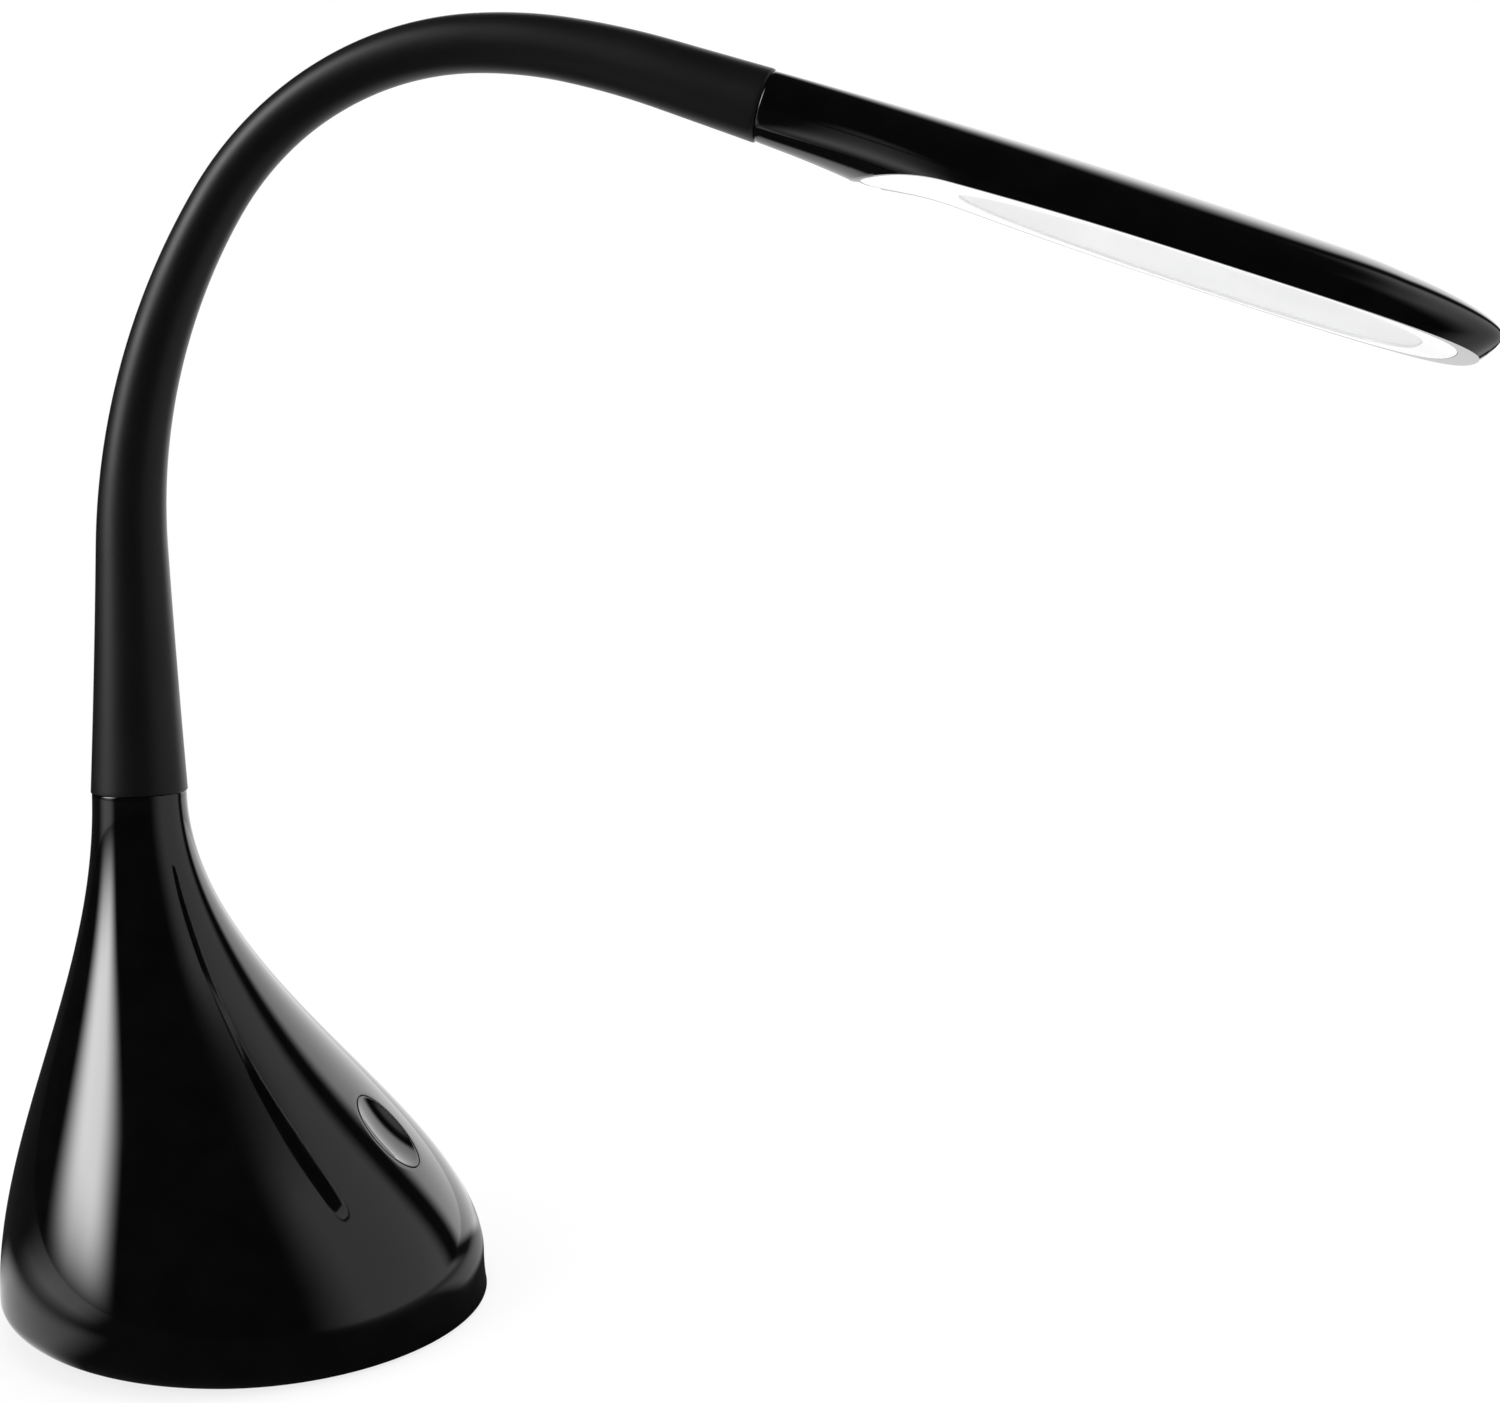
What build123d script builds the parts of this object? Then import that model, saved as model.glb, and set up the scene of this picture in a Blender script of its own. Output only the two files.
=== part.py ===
from build123d import *
import math
import os

# Gooseneck desk lamp: a bell-shaped base that leans back to a narrow top, a tapered flexible neck
# and a long flat LED head. Millimetres. +X runs forwards, towards the head, and +Z runs up. The
# origin is the middle of the non-slip ring that the lamp stands on.

# ---- Base shell: a bell whose round sections shrink and lean back towards the neck. Below the
# widest section they shrink too, and move forwards, so that the back is rounded up off the table ----
BASE_RADIUS = 65.0
BASE_HEIGHT = 142.0
BASE_TOP_RADIUS = 12.5
BASE_LEAN = 28.7
WIDEST_HEIGHT = 9.7
EDGE_SHRINK = 11.1
EDGE_SHIFT = 12.9
BELL_POWER = 0.873
LEAN_POWER = 0.806
BELL_SECTIONS = 10
EDGE_SECTIONS = 4
SHELL_WALL = 3.0
SHELL_BOTTOM = 0.8
SHELL_RIM_THICKNESS = 1.7

# ---- Bottom cover, non-slip ring and ballast ----
COVER_RADIUS = 55.5
COVER_THICKNESS = 2.5
COVER_CLEARANCE = 0.2
RING_INNER_RADIUS = 38.0
RING_OUTER_RADIUS = 46.5
RING_THICKNESS = 2.0
RING_CLEARANCE = 0.2
BALLAST_RADIUS = 46.4
BALLAST_THICKNESS = 13.6
COVER_SCREW_CIRCLE = 50.6
COVER_BOSS_RADIUS = 3.6
COVER_BOSS_HEIGHT = 16.0
COVER_BOSS_WEB = 2.4
COVER_BOSS_REACH = 30.0
BALLAST_SCREW_CIRCLE = 30.0
BALLAST_SCREW_COUNT = 3
BALLAST_THREAD_DEPTH = 9.0

# ---- Screws: head radius, head height, shank radius and length under the head ----
SCREW_FIT = 0.05
SCREW_HOLE_CLEARANCE = 0.3
COVER_SCREW = (2.8, 1.2, 1.4, 11.0)
BALLAST_SCREW = (3.6, 1.2, 1.9, 9.5)
BOARD_SCREW = (2.4, 1.5, 1.2, 8.0)

# ---- Control board and what it carries ----
BOARD_LENGTH = 56.0
BOARD_WIDTH = 34.0
BOARD_THICKNESS = 1.6
BOARD_CENTRE_X = -16.0
BOARD_UNDERSIDE = 24.0
BOARD_SCREW_INSET = 4.0
POST_RADIUS = 3.2
POST_CLEARANCE = 0.5
POST_TAP_DEPTH = 10.0
INDUCTOR_RADIUS = 5.5
INDUCTOR_HEIGHT = 8.0
INDUCTOR_PLACE = (12.0, 9.0)
CAPACITOR_RADIUS = 3.6
CAPACITOR_HEIGHT = 10.0
CAPACITOR_PLACES = ((-4.0, 9.0), (-14.0, 9.0))
CHIP_SIZE = (8.0, 6.0, 1.6)
CHIP_PLACE = (2.0, -8.0)

# ---- Power inlet in the back of the base: a 5.5 x 2.1 mm barrel socket ----
JACK_HEIGHT = 24.5
JACK_FLANGE_RADIUS = 5.6
JACK_FLANGE_THICKNESS = 1.2
JACK_THREAD_RADIUS = 4.0
JACK_THREAD_LENGTH = 14.0
JACK_BORE_RADIUS = 3.1
JACK_BORE_DEPTH = 9.5
JACK_PIN_RADIUS = 1.0
JACK_PIN_LENGTH = 8.0
JACK_SEAT_CLEARANCE = 0.3
JACK_HOLE_CLEARANCE = 0.15
JACK_PAD_RADIUS = 8.0
JACK_PAD_THICKNESS = 3.4
JACK_TERMINAL_SIZE = (5.0, 5.0, 3.0)

# ---- Push button: an oval dished cap set flush in the front slope ----
BUTTON_HEIGHT = 49.4
BUTTON_OPENING_LENGTH = 25.0
BUTTON_OPENING_WIDTH = 16.5
BUTTON_GAP = 0.3
BUTTON_TRAVEL = 0.6
BUTTON_DISH_DEPTH = 1.8
BUTTON_DISH_LONG_RADIUS = 45.0
BUTTON_DISH_CROSS_RADIUS = 24.0
GUIDE_WALL = 2.0
GUIDE_DEPTH = 8.7
BUTTON_FLANGE_RIM = 1.0
BUTTON_FLANGE_THICKNESS = 1.2
BUTTON_STEM_RADIUS = 2.2
BUTTON_STEM_LENGTH = 3.2

# ---- Switch board behind the button ----
SWITCH_BOARD_WIDTH = 10.0
SWITCH_BOARD_LENGTH = 42.0
SWITCH_LUG_RADIUS = 2.8
SWITCH_LUG_OFFSET = 17.5
TACT_SIZE = (6.0, 6.0, 3.5)
TACT_PLUNGER_RADIUS = 1.7
TACT_PLUNGER_FIT = 0.1
TACT_PLUNGER_RISE = 1.5
TACT_PLUNGER_GAP = 0.4
TACT_FLOOR = 1.2
SWITCH_LEAD_OFFSET = 8.0

# ---- Neck: its line runs straight up, then through tangent arcs of (radius, degrees) ----
NECK_FIRST_STRAIGHT = 67.0
NECK_ARCS = ((166.0, 33.4), (85.0, 56.8), (123.0, 12.3), (224.0, 6.5))
NECK_LAST_STRAIGHT = 27.0
NECK_SEGMENTS = 8
NECK_LOFT_STEPS = 5
SLEEVE_ROOT_RADIUS = 12.8
SLEEVE_WAIST_RADIUS = 6.65
SLEEVE_END_RADIUS = 9.35
SLEEVE_WAIST_STATION = 195.0
SLEEVE_ROOT_POWER = 1.9
SLEEVE_END_POWER = 1.5
CONDUIT_RADIUS = 4.0
CONDUIT_BORE_RADIUS = 2.2
CONDUIT_CLEARANCE = 0.25
LEAD_RADIUS = 1.6
BALL_RATIO = 1.3
BALL_GAP = 0.3

# ---- Ferrules that clamp the conduit's two ends ----
COLLAR_DEPTH = 4.0
COLLAR_CLEARANCE = 0.4
DIAPHRAGM_THICKNESS = 4.0
FERRULE_FLANGE_RADIUS = 6.6
FERRULE_FLANGE_THICKNESS = 2.0
FERRULE_CUP_RADIUS = 5.4
FERRULE_CUP_DEPTH = 12.0
FERRULE_CUP_FIT = 0.05
FERRULE_CUP_CLEARANCE = 0.25
FERRULE_THREAD_RADIUS = 4.0
FERRULE_THREAD_LENGTH = 11.0
FERRULE_HOLE_CLEARANCE = 0.2
NUT_ACROSS_FLATS = 11.0
NUT_THICKNESS = 3.5
NUT_THREAD_FIT = 0.05
WASHER_RADIUS = 6.5
WASHER_THICKNESS = 1.0

# ---- Head: elliptical sections along its own line, cut flat underneath ----
HEAD_LENGTH = 188.3
HEAD_END_RADIUS = 9.2
HEAD_HALF_WIDTH = 27.6
HEAD_FLARE_LENGTH = 110.0
HEAD_FLARE_POWER = 0.75
HEAD_WIDEST = 125.0
HEAD_NOSE_POWER = 2.8
HEAD_NOSE_CUT = 1.3
CROWN_HEIGHT = 9.0
CROWN_ARCH = 1.3
CROWN_ARCH_LENGTH = 160.0
CROWN_ARCH_POWER = 0.8
CROWN_FALL_LENGTH = 43.3
WAIST_DROP = 5.5
CHIN_LENGTH = 23.3
CHIN_LIFT = 5.5
HEAD_BODY_STATIONS = (12.0, 26.0, 42.0, 60.0, 82.0, 110.0)
HEAD_NOSE_FRACTIONS = (0.10, 0.35, 0.58, 0.75, 0.87, 0.94)
HEAD_WALL = 2.0
HEAD_LIP = 0.8
UNDERSIDE_DROP = 6.6
UNDERSIDE_SCOOP = ((17.0, -12.4), (28.0, -11.2), (38.0, -6.6), (52.0, -6.6))
HEAD_CAVITY_NOSE = 7.0

# ---- White tray and frosted lens under the head ----
TRAY_THICKNESS = 1.6
TRAY_CLEARANCE = 0.1
TRAY_NOSE = 5.0
WINDOW_HALF_WIDTH = 24.2
WINDOW_NECK_MARGIN = 1.6
WINDOW_NOSE_MARGIN = 17.3
LENS_LEDGE_WIDTH = 1.0
LENS_LEDGE_THICKNESS = 0.6
LENS_THICKNESS = 1.5
OUTLINE_STEPS = 8

# ---- LED board, heat spreader and their fixings ----
LED_BOARD_START = 58.0
LED_BOARD_LENGTH = 100.0
LED_BOARD_WIDTH = 30.0
LED_BOARD_THICKNESS = 1.2
LED_BOARD_HEIGHT = -0.8
SPREADER_WIDTH = 32.0
SPREADER_THICKNESS = 1.5
LED_SIZE = (3.5, 2.8, 0.7)
LED_ROWS = 2
LED_ROW_SPACING = 9.0
LED_COUNT = 12
LED_PITCH = 7.0
LED_SCREW_SPACING_X = 76.0
LED_SCREW_SPACING_Y = 22.0
LED_BOSS_RADIUS = 2.8
LED_TAP_SKIN = 1.2
CONNECTOR_SIZE = (6.0, 6.0, 3.0)

# ---- Leads inside the base and the head ----
SMALL_LEAD_RADIUS = 1.2
SMALL_LEAD_BEND = 3.0
SWITCH_LEAD_BEND = 5.0
JACK_LEAD_RISE = 5.5
JACK_LEAD_LANDING = -22.0
JACK_LEAD_RUN = 5.5
SWITCH_LEAD_LANDING = 20.0
FEED_LANDING = -14.0
FEED_LOW_TURN = 45.0
FEED_HIGH_TURN = 80.0
FEED_BEND = 40.0
HEAD_LEAD_TURNS = (32.0, 48.0)
HEAD_LEAD_BEND = 30.0

# ---- Sizes that follow from the ones above ----
COVER_TOP = SHELL_BOTTOM + COVER_THICKNESS
BOARD_TOP = BOARD_UNDERSIDE + BOARD_THICKNESS
DIAPHRAGM_TOP = BASE_HEIGHT - COLLAR_DEPTH
CAVITY_TOP = DIAPHRAGM_TOP - DIAPHRAGM_THICKNESS
COLLAR_RADIUS = FERRULE_FLANGE_RADIUS + COLLAR_CLEARANCE
SLEEVE_BORE_RADIUS = CONDUIT_RADIUS + CONDUIT_CLEARANCE
SLEEVE_END_BORE_RADIUS = FERRULE_CUP_RADIUS + FERRULE_CUP_CLEARANCE
CUP_FLOOR_DEPTH = COLLAR_DEPTH - FERRULE_FLANGE_THICKNESS
CUP_REACH = FERRULE_CUP_DEPTH - CUP_FLOOR_DEPTH + FERRULE_CUP_CLEARANCE
CAVITY_FLOOR = COVER_TOP + SHELL_RIM_THICKNESS
NECK_BEND_LENGTH = sum(radius * math.radians(turn) for radius, turn in NECK_ARCS)
NECK_LENGTH = NECK_FIRST_STRAIGHT + NECK_BEND_LENGTH + NECK_LAST_STRAIGHT
BUTTON_STEM_END = GUIDE_DEPTH + BUTTON_GAP + BUTTON_FLANGE_THICKNESS + BUTTON_STEM_LENGTH
SWITCH_BOARD_DEPTH = BUTTON_STEM_END + TACT_PLUNGER_RISE + TACT_SIZE[2]
CROWN_FALL_START = HEAD_LENGTH - CROWN_FALL_LENGTH
CHIN_START = HEAD_LENGTH - CHIN_LENGTH
WINDOW_NECK_LENGTH = HEAD_WIDEST - UNDERSIDE_SCOOP[3][0] - WINDOW_NECK_MARGIN
WINDOW_NOSE_LENGTH = HEAD_LENGTH - HEAD_WIDEST - WINDOW_NOSE_MARGIN
LED_SCREW_CENTRE = LED_BOARD_START + LED_BOARD_LENGTH / 2
FAR = 200.0


def bell_rise(z):
    """Share of the way from the widest section to the top, 0 to 1."""
    return max(z - WIDEST_HEIGHT, 0.0) / (BASE_HEIGHT - WIDEST_HEIGHT)


def bell_tuck(z):
    """Share of the bottom edge's rounding at height z: 0 at the widest section, 1 at the table."""
    drop = max(WIDEST_HEIGHT - z, 0.0) / WIDEST_HEIGHT
    return 1 - math.sqrt(1 - drop**2)


def bell_radius(z):
    """Outer radius at height z: half a cosine wave from the widest circle to the neck seam."""
    swell = math.cos(math.pi / 2 * bell_rise(z) ** BELL_POWER) ** 2
    return BASE_TOP_RADIUS + (BASE_RADIUS - BASE_TOP_RADIUS) * swell - EDGE_SHRINK * bell_tuck(z)


def bell_centre(z):
    """X of the section at height z. The bottom one is at 0, and they lean back as they rise."""
    lean = BASE_LEAN * math.sin(math.pi / 2 * bell_rise(z) ** LEAN_POWER) ** 2
    return EDGE_SHIFT * (bell_tuck(z) - bell_tuck(SHELL_BOTTOM)) - lean


def bell_front(z):
    """X of the base's front line at height z."""
    return bell_centre(z) + bell_radius(z)


def bell_back(z):
    """X of the base's back line at height z."""
    return bell_centre(z) - bell_radius(z)


def bell_form(inset, low, high):
    """The base's solid form from low to high, drawn in by inset all round."""
    low_turn = math.acos((WIDEST_HEIGHT - low) / WIDEST_HEIGHT)
    edge_turns = [low_turn + (math.pi / 2 - low_turn) * i / EDGE_SECTIONS for i in range(EDGE_SECTIONS + 1)]
    edge_levels = [WIDEST_HEIGHT * (1 - math.cos(turn)) for turn in edge_turns]
    bell_step = (high - WIDEST_HEIGHT) / BELL_SECTIONS
    bell_levels = [WIDEST_HEIGHT + bell_step * i for i in range(BELL_SECTIONS + 1)]
    with BuildPart() as form:
        for levels in (edge_levels, bell_levels):
            for z in levels:
                with BuildSketch(Plane((bell_centre(z), 0, z))):
                    Circle(bell_radius(z) - inset)
            loft()
    return form.part


def front_slope(z, step=0.5):
    """Change of the front line's X per millimetre of height."""
    return (bell_front(z + step) - bell_front(z - step)) / (2 * step)


def screws(plane, places, sizes):
    """Pan-head screws: the head stands on the plane and the shank runs down from it."""
    head_radius, head_height, shank_radius, length = sizes
    with BuildPart(plane) as group:
        with Locations(*places):
            Cylinder(head_radius, head_height, align=(Align.CENTER, Align.CENTER, Align.MIN))
            Cylinder(shank_radius, length, align=(Align.CENTER, Align.CENTER, Align.MAX))
    return group.part


def hex_nut(plane, thread_radius):
    """A thin hexagon nut whose underside lies on the plane."""
    with BuildPart() as nut:
        with BuildSketch(plane):
            RegularPolygon(NUT_ACROSS_FLATS / 2, 6, major_radius=False)
            Circle(thread_radius + NUT_THREAD_FIT, mode=Mode.SUBTRACT)
        extrude(amount=NUT_THICKNESS)
    return nut.part


def ferrule(plane):
    """Neck end fitting: a crimp cup and flange above the plane, a threaded shank below it."""
    with BuildPart() as fitting:
        with BuildSketch(plane):
            Circle(FERRULE_FLANGE_RADIUS)
        extrude(amount=FERRULE_FLANGE_THICKNESS)
        with BuildSketch(plane.offset(FERRULE_FLANGE_THICKNESS)):
            Circle(FERRULE_CUP_RADIUS)
            Circle(CONDUIT_RADIUS + FERRULE_CUP_FIT, mode=Mode.SUBTRACT)
        extrude(amount=FERRULE_CUP_DEPTH - FERRULE_FLANGE_THICKNESS)
        with BuildSketch(plane):
            Circle(FERRULE_THREAD_RADIUS)
        extrude(amount=-FERRULE_THREAD_LENGTH)
        with BuildSketch(plane.offset(-FERRULE_THREAD_LENGTH)):
            Circle(CONDUIT_BORE_RADIUS)
        extrude(amount=FERRULE_THREAD_LENGTH + FERRULE_FLANGE_THICKNESS, mode=Mode.SUBTRACT)
    return fitting.part


def lead(points, radii, thickness_radius):
    """A round lead through the points, with an arc of the given radius at each corner."""
    start, following = Vector(points[0]), Vector(points[1])
    with BuildPart() as cord:
        with BuildLine():
            FilletPolyline(*points, radius=radii)
        with BuildSketch(Plane(origin=start, z_dir=following - start)):
            Circle(thickness_radius)
        sweep()
    return cord.part


# ---- Places in the base ----
neck_x = bell_centre(BASE_HEIGHT)
board_face = Plane((BOARD_CENTRE_X, 0, BOARD_TOP))
board_back = Plane((BOARD_CENTRE_X, 0, BOARD_UNDERSIDE))
board_screw_x = BOARD_LENGTH / 2 - BOARD_SCREW_INSET
board_screw_y = BOARD_WIDTH / 2 - BOARD_SCREW_INSET
board_screw_places = [
    (x, y) for x in (-board_screw_x, board_screw_x) for y in (-board_screw_y, board_screw_y)
]
cover_screw_angles = [45, 135, 225, 315]
cover_screw_places = [
    (COVER_SCREW_CIRCLE * math.cos(math.radians(a)), COVER_SCREW_CIRCLE * math.sin(math.radians(a)))
    for a in cover_screw_angles
]
ballast_screw_places = [
    (BALLAST_SCREW_CIRCLE * math.cos(turn), BALLAST_SCREW_CIRCLE * math.sin(turn))
    for turn in (math.pi + 2 * math.pi * i / BALLAST_SCREW_COUNT for i in range(BALLAST_SCREW_COUNT))
]
neck_seat = Plane((neck_x, 0, DIAPHRAGM_TOP))
jack_plane = Plane(
    origin=(bell_back(JACK_HEIGHT) + JACK_FLANGE_THICKNESS, 0, JACK_HEIGHT), x_dir=(0, 1, 0), z_dir=(-1, 0, 0)
)
button_plane = Plane(
    origin=(bell_front(BUTTON_HEIGHT), 0, BUTTON_HEIGHT),
    x_dir=(0, 1, 0),
    z_dir=(1, 0, -front_slope(BUTTON_HEIGHT)),
)
opening_x = BUTTON_OPENING_WIDTH / 2
opening_y = BUTTON_OPENING_LENGTH / 2
bell_outside = bell_form(0, SHELL_BOTTOM, BASE_HEIGHT)

# ---- Features that stand on the shell's inside wall, trimmed to the bell's outside ----
with BuildPart() as shell_inner_features:
    for angle, place in zip(cover_screw_angles, cover_screw_places):
        with BuildSketch(Plane.XY.offset(COVER_TOP)):
            with Locations(place):
                Circle(COVER_BOSS_RADIUS)
                Rectangle(
                    COVER_BOSS_REACH,
                    COVER_BOSS_WEB,
                    rotation=angle,
                    align=(Align.MIN, Align.CENTER),
                )
        extrude(amount=COVER_BOSS_HEIGHT)
    with BuildSketch(jack_plane):
        Circle(JACK_PAD_RADIUS)
    extrude(amount=-JACK_PAD_THICKNESS)
    with BuildSketch(button_plane.offset(-GUIDE_DEPTH)):
        Ellipse(opening_x + GUIDE_WALL, opening_y + GUIDE_WALL)
    extrude(amount=2 * GUIDE_DEPTH)
    with BuildSketch(button_plane.offset(-SWITCH_BOARD_DEPTH)):
        with Locations((0, SWITCH_LUG_OFFSET), (0, -SWITCH_LUG_OFFSET)):
            Circle(SWITCH_LUG_RADIUS)
    extrude(amount=2 * SWITCH_BOARD_DEPTH)
    add(bell_outside, mode=Mode.INTERSECT)

with BuildPart() as base_shell:
    add(bell_outside)
    add(bell_form(SHELL_WALL, CAVITY_FLOOR, CAVITY_TOP), mode=Mode.SUBTRACT)
    with BuildSketch(Plane.XY.offset(SHELL_BOTTOM)):
        Circle(COVER_RADIUS + COVER_CLEARANCE)
    extrude(amount=CAVITY_FLOOR - SHELL_BOTTOM, mode=Mode.SUBTRACT)
    add(shell_inner_features.part)
    # neck collar and its hole
    with BuildSketch(neck_seat):
        Circle(COLLAR_RADIUS)
    extrude(amount=COLLAR_DEPTH, mode=Mode.SUBTRACT)
    with BuildSketch(neck_seat):
        Circle(FERRULE_THREAD_RADIUS + FERRULE_HOLE_CLEARANCE)
    extrude(amount=-DIAPHRAGM_THICKNESS, mode=Mode.SUBTRACT)
    # seat and hole for the power inlet
    with BuildSketch(jack_plane):
        Circle(JACK_FLANGE_RADIUS + JACK_SEAT_CLEARANCE)
    extrude(amount=2 * JACK_FLANGE_THICKNESS, mode=Mode.SUBTRACT)
    with BuildSketch(jack_plane):
        Circle(JACK_THREAD_RADIUS + JACK_HOLE_CLEARANCE)
    extrude(amount=-JACK_PAD_THICKNESS, mode=Mode.SUBTRACT)
    # button opening, right through the guide
    with BuildSketch(button_plane.offset(-GUIDE_DEPTH)):
        Ellipse(opening_x, opening_y)
    extrude(amount=2 * GUIDE_DEPTH, mode=Mode.SUBTRACT)
    # tapped holes
    with BuildSketch(Plane.XY.offset(COVER_TOP)):
        with Locations(*cover_screw_places):
            Circle(COVER_SCREW[2] + SCREW_FIT)
    extrude(amount=COVER_SCREW[3], mode=Mode.SUBTRACT)
    with BuildSketch(button_plane.offset(-SWITCH_BOARD_DEPTH)):
        with Locations((0, SWITCH_LUG_OFFSET), (0, -SWITCH_LUG_OFFSET)):
            Circle(BOARD_SCREW[2] + SCREW_FIT)
    extrude(amount=BOARD_SCREW[3], mode=Mode.SUBTRACT)

# ---- Base cover with its board posts ----
with BuildPart() as base_cover:
    with BuildSketch(Plane.XY.offset(SHELL_BOTTOM)):
        Circle(COVER_RADIUS)
    extrude(amount=COVER_THICKNESS)
    with BuildSketch(board_back):
        with Locations(*board_screw_places):
            Circle(POST_RADIUS)
    extrude(amount=COVER_TOP - BOARD_UNDERSIDE)
    with BuildSketch(Plane.XY.offset(SHELL_BOTTOM)):
        Circle(RING_OUTER_RADIUS + RING_CLEARANCE)
        Circle(RING_INNER_RADIUS - RING_CLEARANCE, mode=Mode.SUBTRACT)
    extrude(amount=RING_THICKNESS - SHELL_BOTTOM, mode=Mode.SUBTRACT)
    for places, sizes in ((cover_screw_places, COVER_SCREW), (ballast_screw_places, BALLAST_SCREW)):
        with Locations(*[(x, y, SHELL_BOTTOM) for x, y in places]):
            Cylinder(
                sizes[0] + SCREW_HOLE_CLEARANCE,
                sizes[1],
                align=(Align.CENTER, Align.CENTER, Align.MIN),
                mode=Mode.SUBTRACT,
            )
            Cylinder(
                sizes[2] + SCREW_HOLE_CLEARANCE,
                COVER_THICKNESS,
                align=(Align.CENTER, Align.CENTER, Align.MIN),
                mode=Mode.SUBTRACT,
            )
    with BuildSketch(board_back):
        with Locations(*board_screw_places):
            Circle(BOARD_SCREW[2] + SCREW_FIT)
    extrude(amount=-POST_TAP_DEPTH, mode=Mode.SUBTRACT)

with BuildPart() as non_slip_ring:
    with BuildSketch():
        Circle(RING_OUTER_RADIUS)
        Circle(RING_INNER_RADIUS, mode=Mode.SUBTRACT)
    extrude(amount=RING_THICKNESS)

with BuildPart() as ballast_weight:
    with BuildSketch(Plane.XY.offset(COVER_TOP)):
        Circle(BALLAST_RADIUS)
    extrude(amount=BALLAST_THICKNESS)
    with BuildSketch(board_back):
        with Locations(*board_screw_places):
            Circle(POST_RADIUS + POST_CLEARANCE)
    extrude(amount=COVER_TOP - BOARD_UNDERSIDE, mode=Mode.SUBTRACT)
    with BuildSketch(Plane.XY.offset(COVER_TOP)):
        with Locations(*ballast_screw_places):
            Circle(BALLAST_SCREW[2] + SCREW_FIT)
    extrude(amount=BALLAST_THREAD_DEPTH, mode=Mode.SUBTRACT)

# ---- Control board and parts on it ----
with BuildPart() as control_board:
    with BuildSketch(board_back):
        Rectangle(BOARD_LENGTH, BOARD_WIDTH)
        with Locations(*board_screw_places):
            Circle(BOARD_SCREW[2] + SCREW_HOLE_CLEARANCE, mode=Mode.SUBTRACT)
    extrude(amount=BOARD_THICKNESS)

with BuildPart() as driver_inductor:
    with BuildSketch(board_face):
        with Locations(INDUCTOR_PLACE):
            Circle(INDUCTOR_RADIUS)
    extrude(amount=INDUCTOR_HEIGHT)

with BuildPart() as driver_capacitors:
    with BuildSketch(board_face):
        with Locations(*CAPACITOR_PLACES):
            Circle(CAPACITOR_RADIUS)
    extrude(amount=CAPACITOR_HEIGHT)

with BuildPart() as driver_chip:
    with BuildSketch(board_face):
        with Locations(CHIP_PLACE):
            Rectangle(CHIP_SIZE[0], CHIP_SIZE[1])
    extrude(amount=CHIP_SIZE[2])

# ---- Power inlet ----
with BuildPart() as power_jack:
    with BuildSketch(jack_plane):
        Circle(JACK_FLANGE_RADIUS)
    extrude(amount=JACK_FLANGE_THICKNESS)
    with BuildSketch(jack_plane):
        Circle(JACK_THREAD_RADIUS)
    extrude(amount=-JACK_THREAD_LENGTH)
    with BuildSketch(jack_plane.offset(-JACK_THREAD_LENGTH)):
        Rectangle(JACK_TERMINAL_SIZE[0], JACK_TERMINAL_SIZE[1])
    extrude(amount=-JACK_TERMINAL_SIZE[2])
    with BuildSketch(jack_plane.offset(JACK_FLANGE_THICKNESS)):
        Circle(JACK_BORE_RADIUS)
    extrude(amount=-JACK_BORE_DEPTH, mode=Mode.SUBTRACT)
    with BuildSketch(jack_plane.offset(JACK_FLANGE_THICKNESS - JACK_BORE_DEPTH)):
        Circle(JACK_PIN_RADIUS)
    extrude(amount=JACK_PIN_LENGTH)

jack_nut_part = hex_nut(
    Plane(
        origin=jack_plane.origin + Vector(JACK_PAD_THICKNESS, 0, 0), x_dir=(0, 1, 0), z_dir=(1, 0, 0)
    ),
    JACK_THREAD_RADIUS,
)

# ---- Button: a flanged oval cap with a dished face and a stem ----
flange_top = GUIDE_DEPTH + BUTTON_GAP
flange_bottom = flange_top + BUTTON_FLANGE_THICKNESS
dish_axis_height = BUTTON_DISH_LONG_RADIUS - BUTTON_DISH_DEPTH
dish_plane = Plane(
    origin=button_plane.from_local_coords((0, 0, dish_axis_height)),
    x_dir=button_plane.x_dir,
    z_dir=button_plane.y_dir,
)
with BuildPart() as dish_tool:
    with BuildSketch(dish_plane):
        with Locations((0, BUTTON_DISH_LONG_RADIUS - BUTTON_DISH_CROSS_RADIUS)):
            Circle(BUTTON_DISH_CROSS_RADIUS)
        with Locations((0, 0)):
            Rectangle(
                BUTTON_OPENING_LENGTH,
                BUTTON_DISH_LONG_RADIUS,
                align=(Align.CENTER, Align.MIN),
                mode=Mode.INTERSECT,
            )
    revolve(axis=Axis(dish_plane.origin, dish_plane.x_dir))

with BuildPart() as switch_button:
    with BuildSketch(button_plane.offset(-flange_bottom)):
        Ellipse(opening_x - BUTTON_GAP, opening_y - BUTTON_GAP)
    extrude(amount=2 * flange_bottom)
    with BuildSketch(button_plane.offset(-flange_bottom)):
        Ellipse(opening_x + BUTTON_FLANGE_RIM, opening_y + BUTTON_FLANGE_RIM)
    extrude(amount=BUTTON_FLANGE_THICKNESS)
    add(bell_outside, mode=Mode.INTERSECT)
    add(dish_tool.part, mode=Mode.SUBTRACT)
    with BuildSketch(button_plane.offset(-flange_bottom)):
        Circle(BUTTON_STEM_RADIUS)
    extrude(amount=-BUTTON_STEM_LENGTH)

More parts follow.
